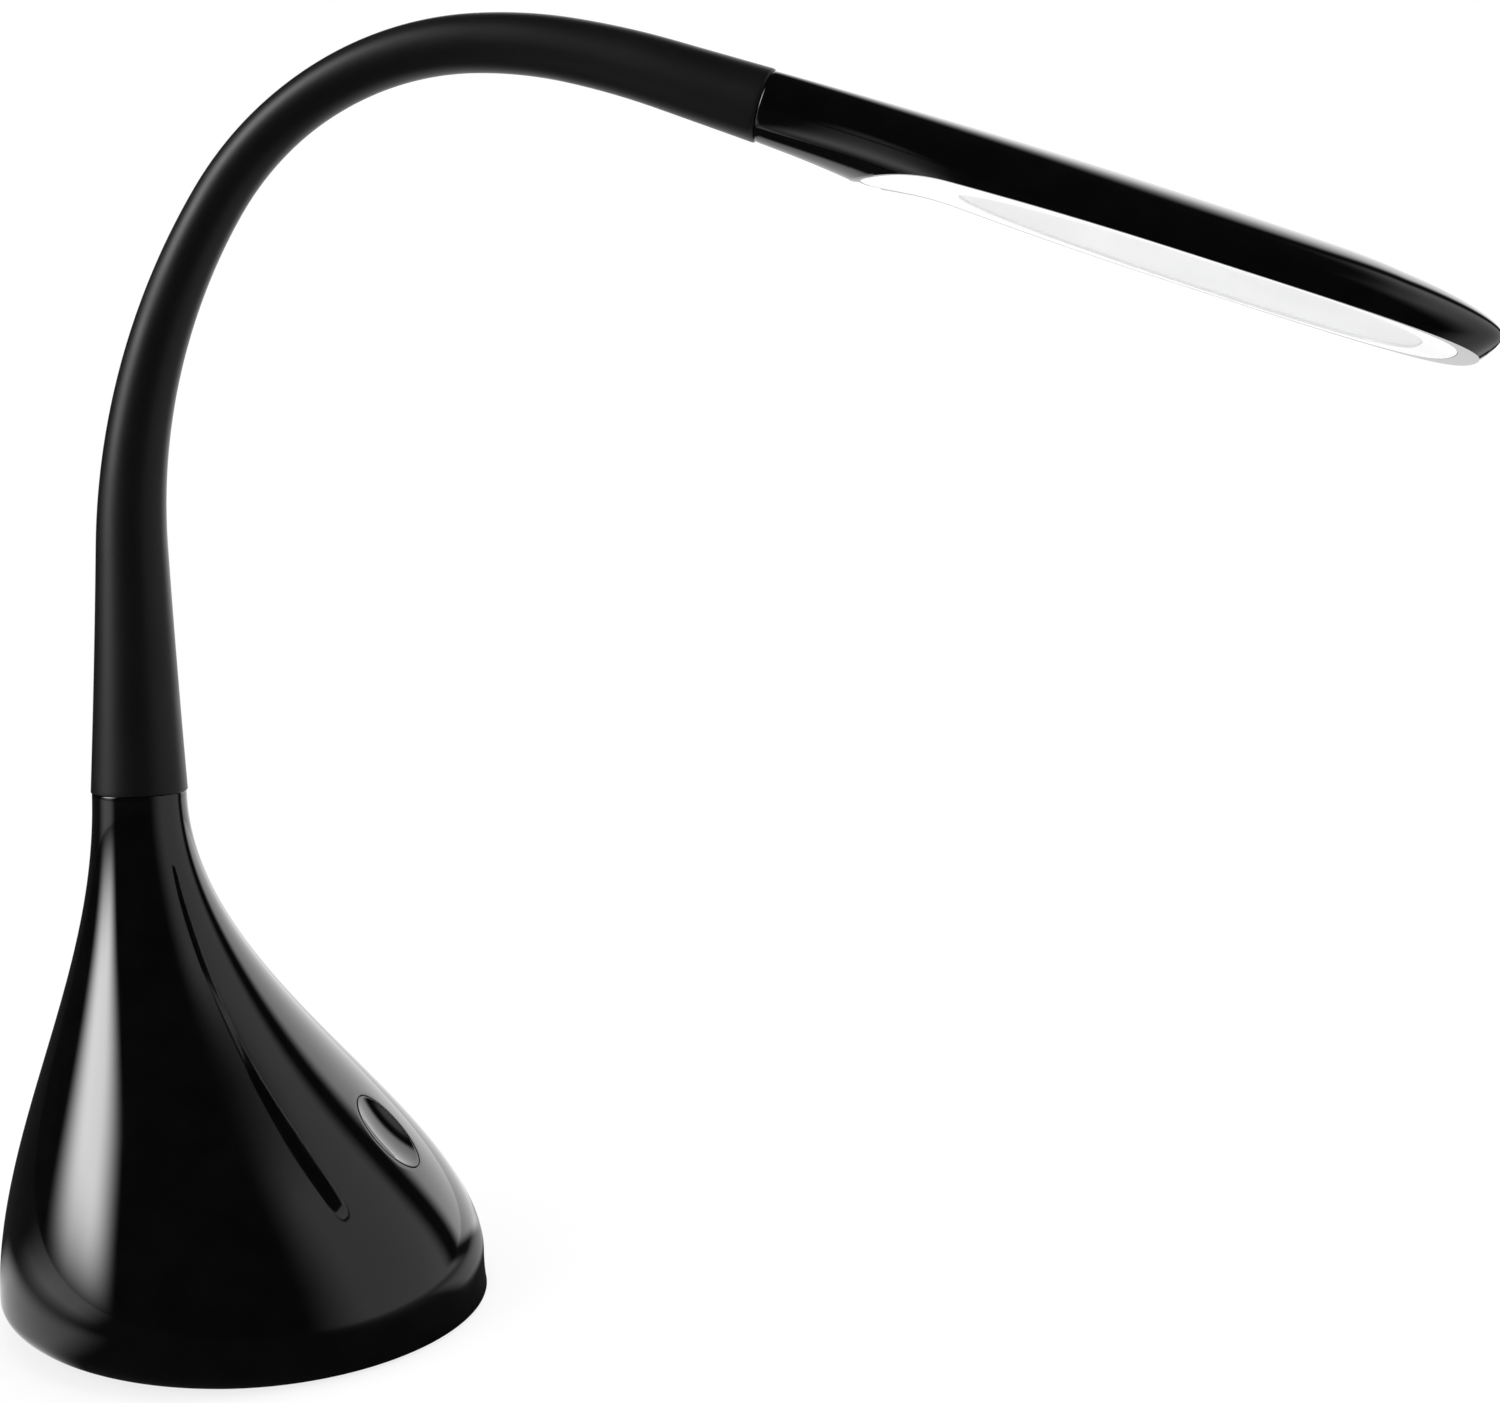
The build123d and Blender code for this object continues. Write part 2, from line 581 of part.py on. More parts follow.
# ---- Switch board, tact switch and its plunger ----
with BuildPart() as switch_board:
    with BuildSketch(button_plane.offset(-SWITCH_BOARD_DEPTH)):
        Rectangle(SWITCH_BOARD_WIDTH, SWITCH_BOARD_LENGTH)
        with Locations((0, SWITCH_LUG_OFFSET), (0, -SWITCH_LUG_OFFSET)):
            Circle(BOARD_SCREW[2] + SCREW_HOLE_CLEARANCE, mode=Mode.SUBTRACT)
    extrude(amount=-BOARD_THICKNESS)

with BuildPart() as tact_switch:
    with BuildSketch(button_plane.offset(-SWITCH_BOARD_DEPTH)):
        Rectangle(TACT_SIZE[0], TACT_SIZE[1])
    extrude(amount=TACT_SIZE[2])
    with BuildSketch(button_plane.offset(TACT_FLOOR - SWITCH_BOARD_DEPTH)):
        Circle(TACT_PLUNGER_RADIUS + TACT_PLUNGER_FIT)
    extrude(amount=TACT_SIZE[2], mode=Mode.SUBTRACT)

tact_plunger_length = TACT_PLUNGER_RISE + TACT_SIZE[2] - TACT_FLOOR - TACT_PLUNGER_GAP - BUTTON_TRAVEL
with BuildPart() as tact_plunger:
    with BuildSketch(button_plane.offset(-BUTTON_STEM_END)):
        Circle(TACT_PLUNGER_RADIUS)
    extrude(amount=-tact_plunger_length)

# ---- Leads inside the base ----
jack_rear = jack_plane.origin.X + JACK_THREAD_LENGTH + JACK_TERMINAL_SIZE[2]
jack_lead_top = BOARD_TOP + JACK_LEAD_RISE
jack_landing_x = BOARD_CENTRE_X + JACK_LEAD_LANDING
switch_landing_x = BOARD_CENTRE_X + SWITCH_LEAD_LANDING
feed_landing_x = BOARD_CENTRE_X + FEED_LANDING
jack_lead_part = lead(
    [
        (jack_rear, 0, JACK_HEIGHT),
        (jack_rear + JACK_LEAD_RUN, 0, JACK_HEIGHT),
        (jack_landing_x - JACK_LEAD_RUN, 0, jack_lead_top),
        (jack_landing_x, 0, jack_lead_top),
        (jack_landing_x, 0, BOARD_TOP),
    ],
    [SMALL_LEAD_BEND, SMALL_LEAD_BEND, SMALL_LEAD_BEND],
    SMALL_LEAD_RADIUS,
)
switch_board_back = button_plane.offset(-SWITCH_BOARD_DEPTH - BOARD_THICKNESS)
switch_lead_start = switch_board_back.from_local_coords((0, SWITCH_LEAD_OFFSET, 0))
switch_lead_run = (switch_lead_start.X - switch_landing_x) / button_plane.z_dir.X
switch_lead_turn = switch_lead_start - button_plane.z_dir * switch_lead_run
switch_lead_part = lead(
    [
        tuple(switch_lead_start),
        tuple(switch_lead_turn),
        (switch_landing_x, 0, BOARD_TOP),
    ],
    [SWITCH_LEAD_BEND],
    SMALL_LEAD_RADIUS,
)
feed_lead_part = lead(
    [
        (feed_landing_x, 0, BOARD_TOP),
        (feed_landing_x, 0, FEED_LOW_TURN),
        (neck_x, 0, FEED_HIGH_TURN),
        (neck_x, 0, BASE_HEIGHT),
    ],
    [FEED_BEND, FEED_BEND],
    LEAD_RADIUS,
)

# ---- Lower ferrule, washer and nut ----
with BuildPart() as lower_ferrule_washer:
    with BuildSketch(neck_seat.offset(-DIAPHRAGM_THICKNESS)):
        Circle(WASHER_RADIUS)
        Circle(FERRULE_THREAD_RADIUS + FERRULE_HOLE_CLEARANCE, mode=Mode.SUBTRACT)
    extrude(amount=-WASHER_THICKNESS)
lower_nut_part = hex_nut(
    neck_seat.offset(-DIAPHRAGM_THICKNESS - WASHER_THICKNESS - NUT_THICKNESS), FERRULE_THREAD_RADIUS
)

# ---- Neck line ----
with BuildLine(Plane.XZ) as neck_line:
    first_run = Line((neck_x, BASE_HEIGHT), (neck_x, BASE_HEIGHT + NECK_FIRST_STRAIGHT))
    run_end, run_direction = first_run @ 1, first_run % 1
    for arc_radius, arc_turn in NECK_ARCS:
        bend = JernArc(run_end, run_direction, arc_radius, -arc_turn)
        run_end, run_direction = bend @ 1, bend % 1
    Line(run_end, run_end + run_direction * NECK_LAST_STRAIGHT)
neck_wire = neck_line.wires()[0]


def neck_plane(station):
    """The plane square to the neck's line at a distance along it; the ends run on straight."""
    inside = min(max(station, 0.0), NECK_LENGTH)
    point = neck_wire.position_at(inside, position_mode=PositionMode.LENGTH)
    direction = neck_wire.tangent_at(inside, position_mode=PositionMode.LENGTH)
    return Plane(origin=point + direction * (station - inside), x_dir=(0, 1, 0), z_dir=direction)


def sleeve_radius(station):
    """Outer radius of the sleeve: it tapers to a waist and swells again towards the head."""
    if station < SLEEVE_WAIST_STATION:
        share = 1 - max(station, 0.0) / SLEEVE_WAIST_STATION
        return SLEEVE_WAIST_RADIUS + (SLEEVE_ROOT_RADIUS - SLEEVE_WAIST_RADIUS) * share**SLEEVE_ROOT_POWER
    share = (station - SLEEVE_WAIST_STATION) / (NECK_LENGTH - SLEEVE_WAIST_STATION)
    return SLEEVE_WAIST_RADIUS + (SLEEVE_END_RADIUS - SLEEVE_WAIST_RADIUS) * share**SLEEVE_END_POWER


def hinge_station(number):
    """Distance along the neck of the joint above segment number."""
    return NECK_LENGTH * number / NECK_SEGMENTS


def ball_radius(number):
    """Radius of the ball end of segment number."""
    return BALL_RATIO * sleeve_radius(hinge_station(number))


def neck_rod(radius_at, start, end):
    """A solid rod along the neck's line whose radius at each station comes from radius_at."""
    with BuildPart() as rod:
        for step in range(NECK_LOFT_STEPS + 1):
            station = start + (end - start) * step / NECK_LOFT_STEPS
            with BuildSketch(neck_plane(station)):
                Circle(radius_at(station))
        loft()
    return rod.part


def neck_cuts(number):
    """What is cut from segment number's ends: a socket below it and all but a ball above it."""
    with BuildPart() as cuts:
        if number > 1:
            with Locations(neck_plane(hinge_station(number - 1)).origin):
                Sphere(ball_radius(number - 1) + BALL_GAP)
        if number < NECK_SEGMENTS:
            above = neck_plane(hinge_station(number))
            with BuildSketch(above):
                Circle(2 * ball_radius(number))
            extrude(amount=2 * ball_radius(number))
            with Locations(above.origin):
                Sphere(ball_radius(number), mode=Mode.SUBTRACT)
    return cuts.part


def neck_piece(number, radius_at, bore_at, low_end, high_end):
    """One length of a tube along the neck, with ball and socket ends where it meets the next."""
    start = hinge_station(number - 1) if number > 1 else low_end
    end = hinge_station(number) + ball_radius(number) if number < NECK_SEGMENTS else high_end
    with BuildPart() as piece:
        add(neck_rod(radius_at, start, end))
        if bore_at:
            add(neck_rod(bore_at, start, end), mode=Mode.SUBTRACT)
        add(neck_cuts(number), mode=Mode.SUBTRACT)
    return piece.part


neck_parts = {}
for number in range(1, NECK_SEGMENTS + 1):
    with BuildPart() as sleeve:
        add(neck_piece(number, sleeve_radius, lambda s: SLEEVE_BORE_RADIUS, 0.0, NECK_LENGTH))
        if number == 1:
            with BuildSketch(neck_plane(0.0)):
                Circle(SLEEVE_END_BORE_RADIUS)
            extrude(amount=CUP_REACH, mode=Mode.SUBTRACT)
        if number == NECK_SEGMENTS:
            with BuildSketch(neck_plane(NECK_LENGTH)):
                Circle(SLEEVE_END_BORE_RADIUS)
            extrude(amount=-CUP_REACH, mode=Mode.SUBTRACT)
    neck_parts[f"neck_sleeve_{number}"] = sleeve.part
    neck_parts[f"neck_conduit_{number}"] = neck_piece(
        number,
        lambda s: CONDUIT_RADIUS,
        lambda s: CONDUIT_BORE_RADIUS,
        -CUP_FLOOR_DEPTH,
        NECK_LENGTH + CUP_FLOOR_DEPTH,
    )
    neck_parts[f"neck_lead_{number}"] = neck_piece(number, lambda s: LEAD_RADIUS, None, 0.0, NECK_LENGTH)

# ---- Head frame: u runs along the head from the neck seam, h runs up, square to it ----
head_seam = neck_plane(NECK_LENGTH)
head_axis = head_seam.z_dir
head_up = head_seam.y_dir
head_top_plane = Plane(origin=head_seam.origin, x_dir=head_axis, z_dir=head_up)
head_side_plane = Plane(origin=head_seam.origin, x_dir=head_axis, z_dir=(0, -1, 0))
head_nose_length = HEAD_LENGTH - HEAD_WIDEST


def head_section_plane(u, h=0.0):
    """The plane square to the head's line at u, with its origin raised by h."""
    return Plane(origin=head_top_plane.from_local_coords((u, 0, h)), x_dir=(0, 1, 0), z_dir=head_axis)


def head_flare(u):
    """Share of the growth from the round neck end to the full section, 0 to 1."""
    return math.sin(math.pi / 2 * min(u / HEAD_FLARE_LENGTH, 1.0) ** HEAD_FLARE_POWER) ** 2


def head_half_width(u):
    """Half the head's width at u: it flares from the neck and ends in a blunt rounded nose."""
    if u < HEAD_WIDEST:
        return HEAD_END_RADIUS + (HEAD_HALF_WIDTH - HEAD_END_RADIUS) * head_flare(u)
    share = (u - HEAD_WIDEST) / head_nose_length
    return HEAD_HALF_WIDTH * (1 - share**HEAD_NOSE_POWER) ** (1 / HEAD_NOSE_POWER)


def head_crown(u):
    """Height of the head's top line at u: slightly arched, then a quarter ellipse down to the nose."""
    arch = max(math.sin(math.pi * u / CROWN_ARCH_LENGTH), 0.0) ** CROWN_ARCH_POWER
    fall = max(u - CROWN_FALL_START, 0.0) / (HEAD_LENGTH - CROWN_FALL_START)
    return (CROWN_HEIGHT + CROWN_ARCH * arch) * math.sqrt(1 - fall**2)


def head_waist(u):
    """Height of the section's widest line at u: it drops from the neck and lifts at the chin."""
    lift = max(u - CHIN_START, 0.0) / (HEAD_LENGTH - CHIN_START)
    return CHIN_LIFT * lift**2 - WAIST_DROP * head_flare(u)


def head_form(start, inset, nose_inset):
    """The head's solid form from start to the nose, drawn in by inset and by nose_inset there."""
    body = [start] + [u for u in HEAD_BODY_STATIONS if u > start + HEAD_WALL]
    nose = [HEAD_WIDEST + head_nose_length * share for share in HEAD_NOSE_FRACTIONS]
    with BuildPart() as form:
        for u in body + nose + [HEAD_LENGTH - HEAD_NOSE_CUT]:
            pulled = u - nose_inset * max(u - HEAD_WIDEST, 0.0) / head_nose_length
            middle = head_waist(u)
            with BuildSketch(head_section_plane(pulled, middle)):
                Ellipse(head_half_width(u) - inset, head_crown(u) - middle - inset)
        loft()
    return form.part


def underside_band(thickness):
    """A slab that follows the underside; its lower face is the cut that trims the head."""
    lower = [Vector(u, h) for u, h in UNDERSIDE_SCOOP]
    upper = [point + Vector(0, thickness) for point in lower]
    with BuildPart() as band:
        with BuildSketch(head_side_plane):
            with BuildLine():
                lower_scoop = Bezier(*lower)
                upper_scoop = Bezier(*upper)
                Polyline(
                    lower_scoop @ 1,
                    (FAR, -UNDERSIDE_DROP),
                    (FAR, thickness - UNDERSIDE_DROP),
                    upper_scoop @ 1,
                )
                Line(lower_scoop @ 0, upper_scoop @ 0)
            make_face()
        extrude(amount=HEAD_HALF_WIDTH, both=True)
    return band.part


def oval_face(height, half_width, neck_length, nose_length):
    """A flat oval: half an ellipse towards the neck, a blunter half towards the nose."""
    power = 2 / HEAD_NOSE_POWER
    angles = [math.pi / 2 * (1 - step / OUTLINE_STEPS) for step in range(2 * OUTLINE_STEPS + 1)]
    nose = [
        (
            HEAD_WIDEST + nose_length * max(math.cos(a), 0.0) ** power,
            math.copysign(half_width * abs(math.sin(a)) ** power, math.sin(a)),
        )
        for a in angles
    ]
    nose[0] = (HEAD_WIDEST, half_width)
    nose[OUTLINE_STEPS] = (HEAD_WIDEST + nose_length, 0)
    nose[-1] = (HEAD_WIDEST, -half_width)
    with BuildSketch(head_top_plane.offset(height)) as oval:
        with BuildLine():
            Spline(*nose, tangents=[(1, 0), (-1, 0)])
            EllipticalCenterArc((HEAD_WIDEST, 0), neck_length, half_width, start_angle=90, arc_size=180)
        make_face()
    return oval.sketch


# ---- Head shell ----
led_boss_places = [
    (LED_SCREW_CENTRE + x, y)
    for x in (-LED_SCREW_SPACING_X / 2, LED_SCREW_SPACING_X / 2)
    for y in (-LED_SCREW_SPACING_Y / 2, LED_SCREW_SPACING_Y / 2)
]
board_bottom = LED_BOARD_HEIGHT
board_upper = board_bottom + LED_BOARD_THICKNESS
spreader_upper = board_upper + SPREADER_THICKNESS
led_tap_top = CROWN_HEIGHT - HEAD_WALL - LED_TAP_SKIN
head_outside = head_form(0.0, 0.0, 0.0)
upper_seat = Plane(
    origin=head_top_plane.from_local_coords((COLLAR_DEPTH, 0, 0)), x_dir=(0, 1, 0), z_dir=-head_axis
)
with BuildPart() as underside_cutter:
    with BuildSketch(head_side_plane):
        with BuildLine():
            scoop = Bezier(*UNDERSIDE_SCOOP)
            Polyline(
                scoop @ 1,
                (FAR, -UNDERSIDE_DROP),
                (FAR, -FAR / 2),
                (UNDERSIDE_SCOOP[0][0], -FAR / 2),
                scoop @ 0,
            )
        make_face()
    extrude(amount=FAR / 2, both=True)

with BuildPart() as led_bosses:
    with BuildSketch(head_top_plane.offset(spreader_upper)):
        with Locations(*led_boss_places):
            Circle(LED_BOSS_RADIUS)
    extrude(amount=CROWN_HEIGHT)
    add(head_outside, mode=Mode.INTERSECT)

with BuildPart() as tray_room:
    add(underside_band(TRAY_THICKNESS))
    add(head_form(COLLAR_DEPTH + DIAPHRAGM_THICKNESS, HEAD_LIP, TRAY_NOSE), mode=Mode.INTERSECT)

with BuildPart() as head_shell:
    add(head_outside)
    add(head_form(COLLAR_DEPTH + DIAPHRAGM_THICKNESS, HEAD_WALL, HEAD_CAVITY_NOSE), mode=Mode.SUBTRACT)
    add(led_bosses.part)
    with BuildSketch(head_top_plane.offset(spreader_upper)):
        with Locations(*led_boss_places):
            Circle(BOARD_SCREW[2] + SCREW_FIT)
    extrude(amount=led_tap_top - spreader_upper, mode=Mode.SUBTRACT)
    add(underside_cutter.part, mode=Mode.SUBTRACT)
    with BuildSketch(upper_seat):
        Circle(COLLAR_RADIUS)
    extrude(amount=COLLAR_DEPTH, mode=Mode.SUBTRACT)
    with BuildSketch(upper_seat):
        Circle(FERRULE_THREAD_RADIUS + FERRULE_HOLE_CLEARANCE)
    extrude(amount=-DIAPHRAGM_THICKNESS, mode=Mode.SUBTRACT)
    add(tray_room.part, mode=Mode.SUBTRACT)

# ---- Tray, lens, LED board ----
lens_bottom = LENS_LEDGE_THICKNESS - UNDERSIDE_DROP
with BuildPart() as head_tray:
    add(underside_band(TRAY_THICKNESS))
    add(
        head_form(COLLAR_DEPTH + DIAPHRAGM_THICKNESS, HEAD_LIP + TRAY_CLEARANCE, TRAY_NOSE + TRAY_CLEARANCE),
        mode=Mode.INTERSECT,
    )
    add(oval_face(-UNDERSIDE_DROP, WINDOW_HALF_WIDTH, WINDOW_NECK_LENGTH, WINDOW_NOSE_LENGTH))
    extrude(amount=TRAY_THICKNESS, mode=Mode.SUBTRACT)
    add(
        oval_face(
            lens_bottom,
            WINDOW_HALF_WIDTH + LENS_LEDGE_WIDTH,
            WINDOW_NECK_LENGTH + LENS_LEDGE_WIDTH,
            WINDOW_NOSE_LENGTH + LENS_LEDGE_WIDTH,
        )
    )
    extrude(amount=TRAY_THICKNESS, mode=Mode.SUBTRACT)

lens_rim = LENS_LEDGE_WIDTH - TRAY_CLEARANCE
with BuildPart() as diffuser:
    add(
        oval_face(
            lens_bottom,
            WINDOW_HALF_WIDTH + lens_rim,
            WINDOW_NECK_LENGTH + lens_rim,
            WINDOW_NOSE_LENGTH + lens_rim,
        )
    )
    extrude(amount=LENS_THICKNESS)

with BuildPart() as led_board:
    with BuildSketch(head_top_plane.offset(board_bottom)):
        with Locations((LED_SCREW_CENTRE, 0)):
            Rectangle(LED_BOARD_LENGTH, LED_BOARD_WIDTH)
        with Locations(*led_boss_places):
            Circle(BOARD_SCREW[2] + SCREW_HOLE_CLEARANCE, mode=Mode.SUBTRACT)
    extrude(amount=LED_BOARD_THICKNESS)

with BuildPart() as heat_spreader:
    with BuildSketch(head_top_plane.offset(board_upper)):
        with Locations((LED_SCREW_CENTRE, 0)):
            Rectangle(LED_BOARD_LENGTH, SPREADER_WIDTH)
        with Locations(*led_boss_places):
            Circle(BOARD_SCREW[2] + SCREW_HOLE_CLEARANCE, mode=Mode.SUBTRACT)
    extrude(amount=SPREADER_THICKNESS)

with BuildPart() as leds:
    with BuildSketch(head_top_plane.offset(board_bottom)):
        with Locations((LED_SCREW_CENTRE + LED_SIZE[0], 0)):
            with GridLocations(LED_PITCH, LED_ROW_SPACING, LED_COUNT, LED_ROWS):
                Rectangle(LED_SIZE[0], LED_SIZE[1])
    extrude(amount=-LED_SIZE[2])

with BuildPart() as lead_connector:
    with BuildSketch(head_top_plane.offset(board_bottom)):
        with Locations((LED_BOARD_START, 0)):
            Rectangle(CONNECTOR_SIZE[0], CONNECTOR_SIZE[1], align=(Align.MIN, Align.CENTER))
    extrude(amount=-CONNECTOR_SIZE[2])

connector_height = board_bottom - CONNECTOR_SIZE[2] / 2
head_lead_part = lead(
    [
        tuple(head_top_plane.from_local_coords(point))
        for point in (
            (0, 0, 0),
            (HEAD_LEAD_TURNS[0], 0, 0),
            (HEAD_LEAD_TURNS[1], 0, connector_height),
            (LED_BOARD_START, 0, connector_height),
        )
    ],
    [HEAD_LEAD_BEND, HEAD_LEAD_BEND],
    LEAD_RADIUS,
)

# ---- Every piece by name ----
pieces = {
    "base_shell": base_shell.part,
    "base_cover": base_cover.part,
    "non_slip_ring": non_slip_ring.part,
    "ballast_weight": ballast_weight.part,
    "cover_screws": screws(
        Plane(origin=(0, 0, SHELL_BOTTOM + COVER_SCREW[1]), x_dir=(1, 0, 0), z_dir=(0, 0, -1)),
        [(x, -y) for x, y in cover_screw_places],
        COVER_SCREW,
    ),
    "ballast_screws": screws(
        Plane(origin=(0, 0, SHELL_BOTTOM + BALLAST_SCREW[1]), x_dir=(1, 0, 0), z_dir=(0, 0, -1)),
        [(x, -y) for x, y in ballast_screw_places],
        BALLAST_SCREW,
    ),
    "control_board": control_board.part,
    "control_board_screws": screws(board_face, board_screw_places, BOARD_SCREW),
    "driver_inductor": driver_inductor.part,
    "driver_capacitors": driver_capacitors.part,
    "driver_chip": driver_chip.part,
    "power_jack": power_jack.part,
    "jack_nut": jack_nut_part,
    "switch_button": switch_button.part,
    "switch_board": switch_board.part,
    "tact_switch": tact_switch.part,
    "tact_plunger": tact_plunger.part,
    "switch_board_screws": screws(
        Plane(origin=switch_board_back.origin, x_dir=(0, 1, 0), z_dir=-button_plane.z_dir),
        [(0, SWITCH_LUG_OFFSET), (0, -SWITCH_LUG_OFFSET)],
        BOARD_SCREW,
    ),
    "jack_lead": jack_lead_part,
    "switch_lead": switch_lead_part,
    "feed_lead": feed_lead_part,
    "lower_ferrule": ferrule(neck_seat),
    "lower_ferrule_washer": lower_ferrule_washer.part,
    "lower_ferrule_nut": lower_nut_part,
    **neck_parts,
    "upper_ferrule": ferrule(upper_seat),
    "upper_ferrule_nut": hex_nut(
        upper_seat.offset(-DIAPHRAGM_THICKNESS - NUT_THICKNESS), FERRULE_THREAD_RADIUS
    ),
    "head_shell": head_shell.part,
    "head_tray": head_tray.part,
    "diffuser": diffuser.part,
    "led_board": led_board.part,
    "leds": leds.part,
    "heat_spreader": heat_spreader.part,
    "led_board_screws": screws(
        Plane(origin=head_top_plane.offset(board_bottom).origin, x_dir=head_axis, z_dir=-head_up),
        [(x, -y) for x, y in led_boss_places],
        (*BOARD_SCREW[:3], led_tap_top - board_bottom),
    ),
    "lead_connector": lead_connector.part,
    "head_lead": head_lead_part,
}

os.makedirs("parts", exist_ok=True)
for name, piece in pieces.items():
    piece.label = name
    export_step(piece, f"parts/{name}.step")

for number in range(1, NECK_SEGMENTS):
    joint = neck_plane(hinge_station(number))
    print("neck joint", number, joint.origin, joint.z_dir)
print("button axis", button_plane.z_dir, "at", button_plane.origin)
print("head seam", head_seam.origin, head_axis)
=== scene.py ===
"""A gooseneck desk lamp with a bell base, a soft sleeved neck and a long flat LED head.

Lengths in the classes are millimetres and meshes are written in metres, in the frame of the CAD
model: +X runs forwards to the head, +Z runs up and the origin is the middle of the non-slip ring.
"""

import logging
import math
from dataclasses import dataclass
from enum import Enum

import bmesh
import bpy
import numpy as np
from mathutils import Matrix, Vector


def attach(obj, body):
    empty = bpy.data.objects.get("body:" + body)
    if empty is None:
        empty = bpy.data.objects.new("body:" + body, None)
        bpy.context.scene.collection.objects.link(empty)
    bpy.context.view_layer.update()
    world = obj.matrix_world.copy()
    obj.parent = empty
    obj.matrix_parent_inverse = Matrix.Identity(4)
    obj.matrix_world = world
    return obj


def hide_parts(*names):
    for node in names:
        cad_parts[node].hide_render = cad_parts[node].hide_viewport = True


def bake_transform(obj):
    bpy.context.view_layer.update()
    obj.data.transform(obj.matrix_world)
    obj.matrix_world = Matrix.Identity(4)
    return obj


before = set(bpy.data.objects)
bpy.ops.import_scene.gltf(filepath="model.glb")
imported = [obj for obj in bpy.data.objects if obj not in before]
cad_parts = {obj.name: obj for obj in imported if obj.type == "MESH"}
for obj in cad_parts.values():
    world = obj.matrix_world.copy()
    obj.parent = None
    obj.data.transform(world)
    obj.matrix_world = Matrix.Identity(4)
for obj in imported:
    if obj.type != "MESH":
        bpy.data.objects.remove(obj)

Array = np.ndarray
ArrayPair = tuple[Array, Array]
Pair = tuple[float, float]
Triple = tuple[float, float, float]
Piece = bpy.types.Object
Tree = bpy.types.NodeTree
Socket = bpy.types.NodeSocket

LOG = logging.getLogger("desk_lamp")
REST_PLACE = "rest_place"
SIDEWAYS = (0.0, 1.0, 0.0)
MM = 0.001
FULL_TURN = 2 * math.pi
DEGREES = math.degrees(1.0)

# Newton's steps that bring a point onto the bell, and how far each looks for the slope.
SLIDE_STEPS = 14
PROBE = 0.02

# Points closer than MERGE_REACH become one, edges shorter than SLIVER go, and edges that turn by
# more than SHARP_ANGLE are shaded sharp.
MERGE_REACH = 0.002 * MM
SLIVER = 0.001 * MM
SHARP_ANGLE = math.radians(38.0)

# Differences that count as none, for places on the head and for bends and shares.
TOUCHING = 1e-6
TINY = 1e-9


def turns(count: int) -> Array:
    """Angles evenly once round, up to one step short of the start."""
    return FULL_TURN * np.arange(count) / count


def circle(angle: Array) -> Array:
    """Cosine and sine of an angle side by side."""
    return np.stack([np.cos(angle), np.sin(angle)], axis=-1)


def quarter(steps: int) -> Array:
    """Angles evenly over a quarter turn, with both its ends."""
    return np.linspace(0, np.pi / 2, steps + 1)


def set_out(name: str, data: bpy.types.ID) -> Piece:
    """Makes an object of a mesh, a light or a camera and links it to the scene.

    Args:
        name: the object's name.
        data: the mesh, light or camera that it holds.

    Returns:
        The object, linked to the scene.
    """
    thing = bpy.data.objects.new(name, data)
    bpy.context.scene.collection.objects.link(thing)
    return thing


class Shape:
    """Points and faces of one piece while it is worked out, in millimetres."""

    def __init__(self) -> None:
        """Starts with no points and no faces."""
        self._points: list[Array] = []
        self._faces: list[list[int]] = []
        self._count = 0

    def add(self, points: Array) -> Array:
        """Adds points.

        Args:
            points: places of any grid shape, with x, y and z last.

        Returns:
            The numbers of the points, in the same grid.
        """
        flat = points.reshape(-1, 3)
        numbers = np.arange(self._count, self._count + len(flat)).reshape(points.shape[:-1])
        self._points.append(flat)
        self._count += len(flat)
        return numbers

    def weave(self, numbers: Array, around: bool = False, keep: Array | None = None) -> None:
        """Joins a grid of point numbers into four-sided faces.

        Args:
            numbers: point numbers in rows and columns.
            around: whether the last column joins the first one.
            keep: which cells of the grid become faces; all of them by default.
        """
        if around:
            numbers = np.concatenate([numbers, numbers[:, :1]], axis=1)
        cell = (numbers[:-1, :-1], numbers[:-1, 1:], numbers[1:, 1:], numbers[1:, :-1])
        faces = np.stack(cell, axis=-1)
        chosen = faces.reshape(-1, 4) if keep is None else faces[keep]
        self._faces.extend(chosen.tolist())

    def close(self, ring: Array) -> None:
        """Closes a ring of point numbers with one face."""
        self._faces.append(ring.tolist())

    def build(self, name: str) -> Piece:
        """Makes the mesh object, with coinciding points merged and every face turned outwards.

        Args:
            name: the object's name.

        Returns:
            The object, at the origin, linked to the scene.
        """
        mesh = bpy.data.meshes.new(name)
        mesh.from_pydata((np.concatenate(self._points) * MM).tolist(), [], self._faces)
        work = bmesh.new()
        work.from_mesh(mesh)
        bmesh.ops.remove_doubles(work, verts=work.verts, dist=MERGE_REACH)
        bmesh.ops.dissolve_degenerate(work, edges=work.edges, dist=SLIVER)
        bmesh.ops.recalc_face_normals(work, faces=work.faces)
        work.to_mesh(mesh)
        work.free()
        mesh.shade_smooth()
        mesh.set_sharp_from_angle(angle=SHARP_ANGLE)
        return set_out(name, mesh)


def woven(name: str, grid: Array, around: bool = False) -> Piece:
    """Makes one grid of points into a mesh object.

    Args:
        name: the object's name.
        grid: points in rows and columns, in millimetres.
        around: whether the last column joins the first one.

    Returns:
        The object, linked to the scene.
    """
    shape = Shape()
    shape.weave(shape.add(grid), around=around)
    return shape.build(name)


# ---- Shader groups and finishes ----


# The middle part of a noise that is stretched over its whole range, and its finer layers.
NOISE_SPREAD = (0.3, 0.7)
GRAIN_DETAIL = 2.0
SMUDGE_DETAIL = 4.0

# How uneven wound wire lies, and the usual width of one turn.
WIRE_UNEVENNESS = 0.6
USUAL_PITCH = 0.8 * MM


